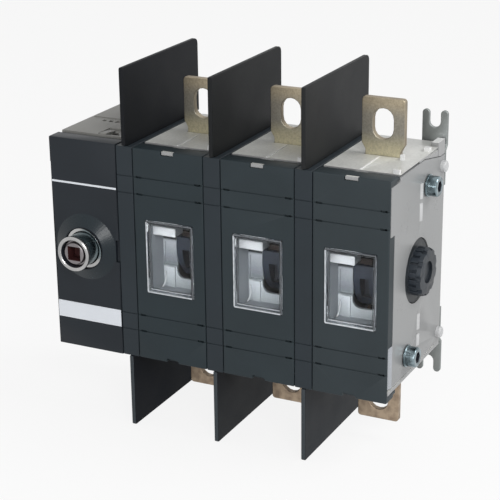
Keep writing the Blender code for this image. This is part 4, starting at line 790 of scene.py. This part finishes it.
    # Painted highlight: the bright drawn lines along the bolt's axis stand in for its highlight streak, over
    # real drawn-metal lines.
    BOLT = Plating(
        "dark_bolt_painted_highlight_lines", "zinc_steel", (0.300, 0.375, 0.405), (0.045, 0.068, 0.078), 0.14, 0.10,
        stretch=(0.08, 1.0, 1.0), lines=900.0, blotches=260.0,
    )
    SLEEVE = Plating(
        "dark_sleeve", "zinc_steel", (0.340, 0.440, 0.470), (0.220, 0.300, 0.330), 0.22, 0.10,
        stretch=(1.0, 0.05, 1.0),
    )
    BRIGHT_RING = Plating(
        "bright_ring", "bright_steel", (0.500, 0.500, 0.495), (0.360, 0.360, 0.360), 0.16, 0.10,
    )
    INSERT = Plating("grey_insert", "bright_steel", (0.270, 0.255, 0.262), (0.200, 0.186, 0.192), 0.34, 0.12)
    STEEL = Plating("plain_steel", "plate_steel", (0.36, 0.37, 0.39), (0.24, 0.25, 0.27), 0.36, 0.20)


# The cover, the upper barrier and the lower barrier of each pole, from left to right, each lighter than the
# last as painted light
POLE_FINISHES = (
    (Finish.COVER_LEFT, Finish.SHEET_LEFT, Finish.LOW_SHEET_LEFT),
    (Finish.COVER_MIDDLE, Finish.SHEET_MIDDLE, Finish.LOW_SHEET_MIDDLE),
    (Finish.COVER_RIGHT, Finish.SHEET_RIGHT, Finish.LOW_SHEET_RIGHT),
)


# Pieces


@dataclass
class Workshop:
    """What every sub-assembly needs: the frame's nodes, and the materials made so far."""

    nodes: dict[str, Piece]
    materials: dict[Finish, Material] = field(default_factory=dict)
    merge_distance: float = 0.000001
    flat_angle: float = 0.5
    bevel_segments: int = 2

    def use(self, finish: Finish) -> Material:
        """The material of a finish, made when first asked for.

        Args:
            finish: The finish.

        Returns:
            Its material.
        """
        if finish not in self.materials:
            self.materials[finish] = finish.value.material()
        return self.materials[finish]

    def hand_over(self, piece: Piece, finish: Finish, body: Body) -> None:
        """Give a piece its first finish and let it ride.

        Args:
            piece: The piece.
            finish: Its finish.
            body: The rigid group that it moves with.
        """
        piece.data.materials.clear()
        piece.data.materials.append(self.use(finish))
        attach(piece, body.value)
        LOG.info("%s: %s", piece.name, finish.value.name)

    def soften(
        self, node: str, finish: Finish, body: Body, width: float = 0.0, angle: float = SHARP_EDGE,
    ) -> Piece:
        """A merged copy of a solid with its edges rounded, standing for the solid.

        Args:
            node: The solid's name.
            finish: The finish of the copy.
            body: The rigid group that it moves with.
            width: The width of the rounding, in metres, or 0 for none.
            angle: The least angle of an edge that is rounded, in degrees.

        Returns:
            The new piece.
        """
        piece = bpy.data.objects.new(f"{node}_finished", self.nodes[node].data.copy())
        bpy.context.scene.collection.objects.link(piece)
        bm = bmesh.new()
        bm.from_mesh(piece.data)
        bmesh.ops.remove_doubles(bm, verts=bm.verts, dist=self.merge_distance)
        bmesh.ops.dissolve_limit(
            bm, angle_limit=math.radians(self.flat_angle), verts=bm.verts, edges=bm.edges,
        )
        bmesh.ops.recalc_face_normals(bm, faces=bm.faces)
        bm.to_mesh(piece.data)
        bm.free()
        if width:
            modifier = piece.modifiers.new("soft_edges", "BEVEL")
            modifier.width = width
            modifier.segments = self.bevel_segments
            modifier.limit_method = "ANGLE"
            modifier.angle_limit = math.radians(angle)
        shade(piece, angle)
        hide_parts(node)
        self.hand_over(piece, finish, body)
        return piece

    def repaint(self, piece: Piece, finish: Finish, pick: FacePick) -> np.ndarray:
        """Give some faces of a piece a further finish.

        Args:
            piece: The piece.
            finish: The further finish.
            pick: Says from the faces' centres and normals, one row each, which faces take it.

        Returns:
            One value per face, true for the faces that took it.
        """
        polygons = piece.data.polygons
        centres, normals = np.empty(3 * len(polygons)), np.empty(3 * len(polygons))
        index = np.empty(len(polygons), dtype=np.int32)
        polygons.foreach_get("center", centres)
        polygons.foreach_get("normal", normals)
        polygons.foreach_get("material_index", index)
        picked = pick(centres.reshape(-1, 3), normals.reshape(-1, 3))
        index[picked] = len(piece.data.materials)
        piece.data.materials.append(self.use(finish))
        polygons.foreach_set("material_index", index)
        piece.data.update()
        return picked


@dataclass
class Mechanism:
    """The mechanism at the left end, with its shaft and its printed bands."""

    shop: Workshop
    edge: float = 0.0003
    fine_edge: float = 0.0002
    top_level: float = 0.1300
    boss_radius: float = 0.0180
    cone_normals: Pair = (-0.97, -0.3)
    ring_length: float = 0.0019
    bore_radius: float = 0.0066
    cup_depth: float = 0.0030
    socket_reach: float = 0.0047

    def off_axis(self, at: np.ndarray) -> np.ndarray:
        """How far each point lies from the shaft's axis."""
        low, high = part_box("operating_shaft")
        return np.hypot(at[:, 0] - (low[0] + high[0]) / 2, at[:, 2] - (low[2] + high[2]) / 2)

    def build(self) -> None:
        """Finish each piece of the mechanism."""
        soften, repaint = self.shop.soften, self.shop.repaint
        case = soften("mechanism_case", Finish.LIGHT_GREY, Body.HOUSING, self.edge)
        # Painted shade on the mechanism case's top.
        repaint(case, Finish.SHADED_MECHANISM_TOP, lambda at, way: at[:, 2] > self.top_level)
        cover = soften("mechanism_cover", Finish.MECHANISM, Body.HOUSING, self.edge)
        cone = repaint(cover, Finish.BOSS, lambda at, way: (
            between(way[:, 1], *self.cone_normals) & (self.off_axis(at) < self.boss_radius)
        ))
        cover.data.polygons.foreach_set("use_smooth", ~cone)
        soften("marking_line", Finish.WHITE, Body.HOUSING)
        soften("marking_plate", Finish.WHITE, Body.HOUSING)
        soften("shaft_bush", Finish.BLACK, Body.HOUSING, self.fine_edge)
        soften("spring_washer", Finish.BRIGHT_RING, Body.HOUSING, self.fine_edge)
        soften("bearing_plate", Finish.STEEL, Body.HOUSING)
        soften("toggle_spring", Finish.STEEL, Body.HOUSING)
        soften("drive_gear", Finish.STEEL, Body.SHAFT)
        soften("driven_gear", Finish.STEEL, Body.CONTACTS)
        self.build_shaft()

    def build_shaft(self) -> None:
        """Finish the shaft: bright ring, dark sleeve, painted shade in the bore, and the insert with painted
        shade in its square hole.
        """
        soften, repaint, radius = self.shop.soften, self.shop.repaint, self.off_axis
        front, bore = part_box("operating_shaft")[0][1], self.bore_radius
        shaft = soften("operating_shaft", Finish.BRIGHT_RING, Body.SHAFT, self.fine_edge)
        repaint(shaft, Finish.SLEEVE, lambda at, way: (
            (at[:, 1] > front + self.ring_length) & (radius(at) > bore)
        ))
        # Painted shade on the bore's walls.
        repaint(shaft, Finish.BLACK, lambda at, way: (radius(at) < bore) & (np.abs(way[:, 1]) < FACING))
        # Painted shade on the cup's floor.
        repaint(shaft, Finish.RECESS, lambda at, way: (
            (radius(at) < bore) & (way[:, 1] < -FACING) & (at[:, 1] > front + self.cup_depth)
        ))
        insert = soften("shaft_socket", Finish.INSERT, Body.SHAFT, self.fine_edge)
        # Painted shade on the square hole's walls.
        repaint(insert, Finish.RECESS, lambda at, way: (
            (radius(at) < self.socket_reach) & (np.abs(way[:, 1]) < FACING)
        ))


@dataclass
class Pole:
    """One pole: its shell, cover, window, terminals, barriers and contacts.

    Depths count from the window's front, and slot_drop from the drum's middle downwards.
    """

    shop: Workshop
    number: int
    cover: Finish
    upper_sheet: Finish
    lower_sheet: Finish
    edge: float = 0.00025
    fine_edge: float = 0.0002
    drum_edge: float = 0.0003
    front_normal: float = -0.8
    shell_top: float = 0.1366
    top_normal: float = 0.6
    block_normal: float = -0.1
    chamber_half: float = 0.0203
    chamber_slack: float = 0.0004
    chamber_start: float = 0.0020
    back_depth: float = 0.0165
    back_slack: float = 0.0030
    shelf_depth: float = 0.0087
    shelf_slack: float = 0.0008
    slot_half: float = 0.0023
    slot_depths: Pair = (0.0008, 0.0072)
    slot_drop: Pair = (0.0104, 0.0004)
    window_flange: float = 0.0011
    window_rim: float = 0.0013
    window_recess: float = 0.0011
    window_corner: float = 0.0004
    rim_bead: Pair = (0.00036, 0.00028)
    inner_bead: Pair = (0.00022, 0.00022)
    mark_bead: Pair = (0.00040, 0.00028)
    mark_radius: float = 0.0045
    mark_turn: Pair = (42.0, -88.0)
    mark_place: Pair = (0.0131, -0.0148)
    mark_lift: float = 0.0001

    def build(self) -> None:
        """Finish each piece of the pole."""
        soften, repaint, number = self.shop.soften, self.shop.repaint, self.number
        soften(f"barrier_holder_{number}", Finish.HOLDER, Body.HOUSING, self.edge)
        soften(f"pole_cover_{number}", self.cover, Body.HOUSING, self.edge)
        upper = soften(f"terminal_upper_{number}", Finish.TERMINAL, Body.HOUSING, self.edge)
        repaint(upper, Finish.TERMINAL_FACE, lambda at, way: way[:, 1] < self.front_normal)
        soften(f"phase_barrier_upper_{number}", self.upper_sheet, Body.HOUSING, self.edge)
        soften(f"arc_chute_upper_{number}", Finish.STEEL, Body.HOUSING)
        soften(f"terminal_lower_{number}", Finish.LOW_TERMINAL, Body.HOUSING, self.edge)
        barrier = soften(f"phase_barrier_lower_{number}", self.lower_sheet, Body.HOUSING, self.edge)
        # Painted light on the barrier's front edge.
        repaint(barrier, Finish.LIT_SHEET_EDGE, lambda at, way: way[:, 1] < self.front_normal)
        soften(f"arc_chute_lower_{number}", Finish.STEEL, Body.HOUSING)
        soften(f"moving_contact_{number}", Finish.COPPER, Body.CONTACTS, self.fine_edge)
        soften(f"shaft_link_{number}", Finish.STEEL, Body.CONTACTS)
        self.build_shell()
        self.build_drum()
        self.build_window()

    def build_shell(self) -> None:
        """Finish the shell, with painted light on the pole's tops and painted light and shade on the
        chamber's back wall, side walls and shelf.
        """
        case = self.shop.soften(f"pole_case_{self.number}", Finish.LIGHT_GREY, Body.HOUSING, self.edge)
        repaint = self.shop.repaint
        low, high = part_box(f"inspection_window_{self.number}")
        middle = (low[2] + high[2]) / 2
        front, shelf, back = low[1] + self.chamber_start, low[1] + self.shelf_depth, low[1] + self.back_depth

        def inside(at: np.ndarray) -> np.ndarray:
            """Which centres lie in the chamber.

            Args:
                at: The faces' centres, one row each.

            Returns:
                One value per centre, true in the chamber.
            """
            across = between(at[:, 0], low[0] - self.chamber_slack, high[0] + self.chamber_slack)
            upright = np.abs(at[:, 2] - middle) < self.chamber_half
            return across & upright & between(at[:, 1], front, back + self.back_slack)

        # Painted light on the pole's top faces.
        repaint(case, Finish.LIT_POLE_TOP, lambda at, way: (way[:, 2] > self.top_normal) & ~inside(at))
        repaint(case, Finish.BLOCK, lambda at, way: (
            (at[:, 2] > self.shell_top) & (way[:, 2] > self.block_normal)
        ))
        # Painted shade on the chamber's side walls, painted light and shade on its back wall, and painted
        # light on its shelf.
        repaint(case, Finish.SHADED_CHAMBER_SIDE, lambda at, way: inside(at) & (np.abs(way[:, 1]) < FACING))
        repaint(case, Finish.CHAMBER, lambda at, way: inside(at) & (way[:, 1] < -FACING) & (at[:, 1] > back))
        repaint(case, Finish.LIT_SHELF, lambda at, way: (
            inside(at) & (way[:, 1] < -FACING) & (at[:, 2] > middle)
            & (np.abs(at[:, 1] - shelf) < self.shelf_slack)
        ))

    def build_drum(self) -> None:
        """Finish the contact drum, with painted shade in the slot in its face."""
        node = f"contact_rotor_{self.number}"
        low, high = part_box(node)
        window_low, window_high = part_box(f"inspection_window_{self.number}")
        middle_x, middle_z = (window_low[0] + window_high[0]) / 2, (low[2] + high[2]) / 2
        near, far = (low[1] + depth for depth in self.slot_depths)
        bottom, top = (middle_z - drop for drop in self.slot_drop)
        drum = self.shop.soften(node, Finish.DRUM, Body.CONTACTS, self.drum_edge)
        # Painted shade: the slot's faces take the black moulding.
        self.shop.repaint(drum, Finish.BLACK, lambda at, way: (
            (np.abs(at[:, 0] - middle_x) < self.slot_half)
            & between(at[:, 1], near, far) & between(at[:, 2], bottom, top)
        ))

    def build_window(self) -> None:
        """Finish the clear window, with its two beads and the mark behind it."""
        node = f"inspection_window_{self.number}"
        pane = self.shop.soften(node, Finish.CLEAR, Body.HOUSING, self.edge)
        pane.visible_shadow = False
        low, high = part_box(node)
        self.build_beads(low, high)
        self.build_mark(low, high)

    def build_beads(self, low: Point, high: Point) -> None:
        """Lay a bead along the window's rim and one along its inner wall, each with a painted highlight on
        some sides and painted shade on the others.

        Args:
            low: The lowest corner of the window's box.
            high: The highest corner of the window's box.
        """
        hand_over, repaint, forwards = self.shop.hand_over, self.shop.repaint, (0.0, -1.0, 0.0)
        flange, wall = self.window_flange + self.rim_bead[0], self.window_flange + self.window_rim
        wall += self.inner_bead[0]
        dim = wall + self.window_rim
        path = rounded_frame(low, high, flange, self.window_corner, low[1])
        rim = bead(f"window_rim_bead_{self.number}", path, forwards, self.rim_bead, True)
        hand_over(rim, Finish.BEAD, Body.HOUSING)
        # Painted shade on the rim bead's top and right sides; the rest keeps the painted highlight.
        repaint(rim, Finish.SHADED_BEAD, lambda at, way: (at[:, 2] > high[2] - dim) | (at[:, 0] > high[0] - dim))
        path = rounded_frame(low, high, wall, self.window_corner, low[1] + self.window_recess)
        inner = bead(f"window_inner_bead_{self.number}", path, forwards, self.inner_bead, True)
        hand_over(inner, Finish.BEAD, Body.HOUSING)
        # Painted shade on the inner bead above its bottom side; the bottom keeps the painted highlight.
        repaint(inner, Finish.SHADED_BEAD, lambda at, way: at[:, 2] > low[2] + dim)

    def build_mark(self, low: Point, high: Point) -> None:
        """Lay a thin curved bead on the chamber's left wall, bright with the shelf's painted light.

        Args:
            low: The lowest corner of the window's box.
            high: The highest corner of the window's box.
        """
        depth, up = self.mark_place
        centre = (low[0] + self.window_flange + self.mark_lift, low[1] + depth, (low[2] + high[2]) / 2 + up)
        path = side_arc(centre, self.mark_radius, *self.mark_turn)
        mark = bead(f"chamber_mark_{self.number}", path, (1.0, 0.0, 0.0), self.mark_bead, False)
        # The bead takes the shelf's painted light.
        self.shop.hand_over(mark, Finish.LIT_SHELF, Body.HOUSING)


@dataclass
class RightEnd:
    """The end plate with its bolts, the coupling end and the mounting feet."""

    shop: Workshop
    edge: float = 0.00025
    fine_edge: float = 0.0002
    plate_edge: float = 0.0004
    bolt_edge: float = 0.0003
    tooth_angle: float = 40.0
    teeth_length: float = 0.0050
    bump_height: float = 0.0023
    bump_slack: float = 0.00005
    bevel_depth: float = 0.0012
    bevel_normals: Pair = (0.3, 0.99)
    strip_depth: float = 0.0056
    socket_radius: float = 0.0030
    socket_depths: Pair = (0.0002, 0.0030)

    def build(self) -> None:
        """Finish each piece of the right end."""
        self.build_plate()
        coupling = self.shop.soften(
            "coupling_end", Finish.COUPLING, Body.CONTACTS, self.fine_edge, self.tooth_angle,
        )
        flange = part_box("coupling_end")[1][0] - self.teeth_length
        self.shop.repaint(coupling, Finish.FLANGE, lambda at, way: (at[:, 0] < flange) & (way[:, 0] > FACING))
        for side in ("upper", "lower"):
            self.build_bolt(f"tie_bolt_{side}")
            for end in ("left", "right"):
                self.shop.soften(f"mounting_foot_{side}_{end}", Finish.ZINC, Body.HOUSING, self.edge)

    def build_plate(self) -> None:
        """Finish the end plate, with its bevel, ribs and round bumps paler, as painted light."""
        low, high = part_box("end_plate")
        face, front = high[0] - self.bump_height, low[1] + self.strip_depth
        plate = self.shop.soften("end_plate", Finish.END_PLATE, Body.HOUSING, self.plate_edge)
        # Painted light on the plate's bevel, ribs and bumps.
        self.shop.repaint(plate, Finish.LIT_PLATE_EDGE, lambda at, way: (
            (at[:, 0] > face + self.bump_slack)
            | ((at[:, 0] > face - self.bevel_depth) & between(way[:, 0], *self.bevel_normals))
        ))
        self.shop.repaint(plate, Finish.STRIP, lambda at, way: (
            (at[:, 1] < front) & (way[:, 0] > self.bevel_normals[0])
        ))

    def build_bolt(self, node: str) -> None:
        """Finish a tie bolt, with painted shade in its socket.

        Args:
            node: The bolt's name.
        """
        low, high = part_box(node)
        middle_y, middle_z = (low[1] + high[1]) / 2, (low[2] + high[2]) / 2
        shallow, deep = (high[0] - depth for depth in self.socket_depths)
        bolt = self.shop.soften(node, Finish.BOLT, Body.HOUSING, self.bolt_edge)
        # Painted shade: the socket's faces take the black moulding.
        self.shop.repaint(bolt, Finish.BLACK, lambda at, way: (
            (np.hypot(at[:, 1] - middle_y, at[:, 2] - middle_z) < self.socket_radius)
            & between(at[:, 0], deep, shallow)
        ))


# Stage


def seen_directly(tree: Tree) -> Socket:
    """1 for rays from the camera, a mirror or glass, 0 for light.

    Args:
        tree: The tree of the material or world.

    Returns:
        The socket with the result.
    """
    path = tree.nodes.new("ShaderNodeLightPath")
    either = math_node(tree, "MAXIMUM", path.outputs["Is Camera Ray"], path.outputs["Is Glossy Ray"])
    return math_node(tree, "MAXIMUM", either, path.outputs["Is Transmission Ray"])


@dataclass(frozen=True)
class Studio:
    """The pale floor and the plain light round the switch, both white where they are seen."""

    floor_size: float = 6.0
    floor_tone: float = 0.86
    floor_roughness: float = 0.9
    floor_specular: float = 0.1
    floor_glow: float = 0.86
    ambient: float = 0.42

    def build_floor(self) -> None:
        """Lay a floor that shows the background's white to the camera and keeps the shadow."""
        half = self.floor_size / 2
        corners = np.array([(-half, -half, 0), (half, -half, 0), (half, half, 0), (-half, half, 0)], float)
        floor = put_mesh("floor", corners, np.array([[0, 1, 2, 3]]))
        material, shader = principled("pale_floor")
        shader.inputs["Base Color"].default_value = opaque((self.floor_tone,) * 3)
        shader.inputs["Roughness"].default_value = self.floor_roughness
        shader.inputs["Specular IOR Level"].default_value = self.floor_specular
        tree = material.node_tree
        glow = tree.nodes.new("ShaderNodeEmission")
        blend = tree.nodes.new("ShaderNodeMixShader")
        tree.links.new(math_node(tree, "MULTIPLY", seen_directly(tree), self.floor_glow), blend.inputs[0])
        tree.links.new(shader.outputs[0], blend.inputs[1])
        tree.links.new(glow.outputs[0], blend.inputs[2])
        tree.links.new(blend.outputs[0], tree.nodes["Material Output"].inputs["Surface"])
        floor.data.materials.append(material)

    def build_world(self) -> None:
        """Give white where it is seen, and a plain level of light elsewhere."""
        world = bpy.data.worlds.new("studio")
        bpy.context.scene.world = world
        world.use_nodes = True
        tree = world.node_tree
        light = tree.nodes["Background"]
        level = math_node(tree, "MULTIPLY_ADD", seen_directly(tree), 1.0 - self.ambient, self.ambient)
        tree.links.new(level, light.inputs["Strength"])
        light.inputs["Color"].default_value = (1.0, 1.0, 1.0, 1.0)


@dataclass(frozen=True)
class Softbox:
    """A square area lamp that faces the switch."""

    name: str
    place: Point
    size: float
    power: float
    aim: Point = (0.0, 0.0, 0.09)

    def build(self) -> None:
        """Hang the lamp."""
        lamp = bpy.data.lights.new(self.name, "AREA")
        lamp.shape = "SQUARE"
        lamp.size = self.size
        lamp.energy = self.power
        holder = bpy.data.objects.new(self.name, lamp)
        bpy.context.scene.collection.objects.link(holder)
        holder.location = self.place
        away = Vector(self.aim) - Vector(self.place)
        holder.rotation_euler = away.to_track_quat("-Z", "Y").to_euler()


@dataclass(frozen=True)
class View:
    """The camera at the photograph's viewing angle: its place, and its own axes as unit vectors."""

    lens: float = 112.79
    sensor: float = 36.0
    shift: Pair = (-0.0242, 0.0021)
    near: float = 0.01
    place: Point = (0.30391, -0.60562, 0.32855)
    right: Point = (0.89933, 0.43718, -0.00837)
    up: Point = (-0.14096, 0.30797, 0.94089)
    back: Point = (0.41392, -0.84500, 0.33860)

    def build(self) -> None:
        """Set up the camera and make it the scene's."""
        data = bpy.data.cameras.new("view")
        data.sensor_width = self.sensor
        data.lens = self.lens
        data.shift_x, data.shift_y = self.shift
        data.clip_start = self.near
        camera = bpy.data.objects.new("view", data)
        bpy.context.scene.collection.objects.link(camera)
        turn = Matrix((self.right, self.up, self.back)).transposed()
        camera.matrix_world = Matrix.Translation(self.place) @ turn.to_4x4()
        bpy.context.scene.camera = camera


LAMPS = (
    Softbox("key", (0.75, -0.95, 0.80), 0.55, 6.2),
    Softbox("fill", (0.20, -1.47, 0.40), 0.36, 5.0),
    Softbox("side", (1.6, 0.3, 0.6), 0.9, 2.2),
    Softbox("top", (0.95, 0.20, 1.10), 0.60, 6.6),
)


def main() -> None:
    """Build the looks of the switch from its frame."""
    logging.basicConfig(level=logging.INFO, format="%(name)s: %(message)s")
    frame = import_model()
    bpy.context.scene.view_settings.view_transform = "Standard"
    shop = Workshop(frame["nodes"])
    Mechanism(shop).build()
    for number, finishes in enumerate(POLE_FINISHES, start=1):
        Pole(shop, number, *finishes).build()
    RightEnd(shop).build()
    studio = Studio()
    studio.build_floor()
    studio.build_world()
    for lamp in LAMPS:
        lamp.build()
    View().build()


if __name__ == "__main__":
    main()
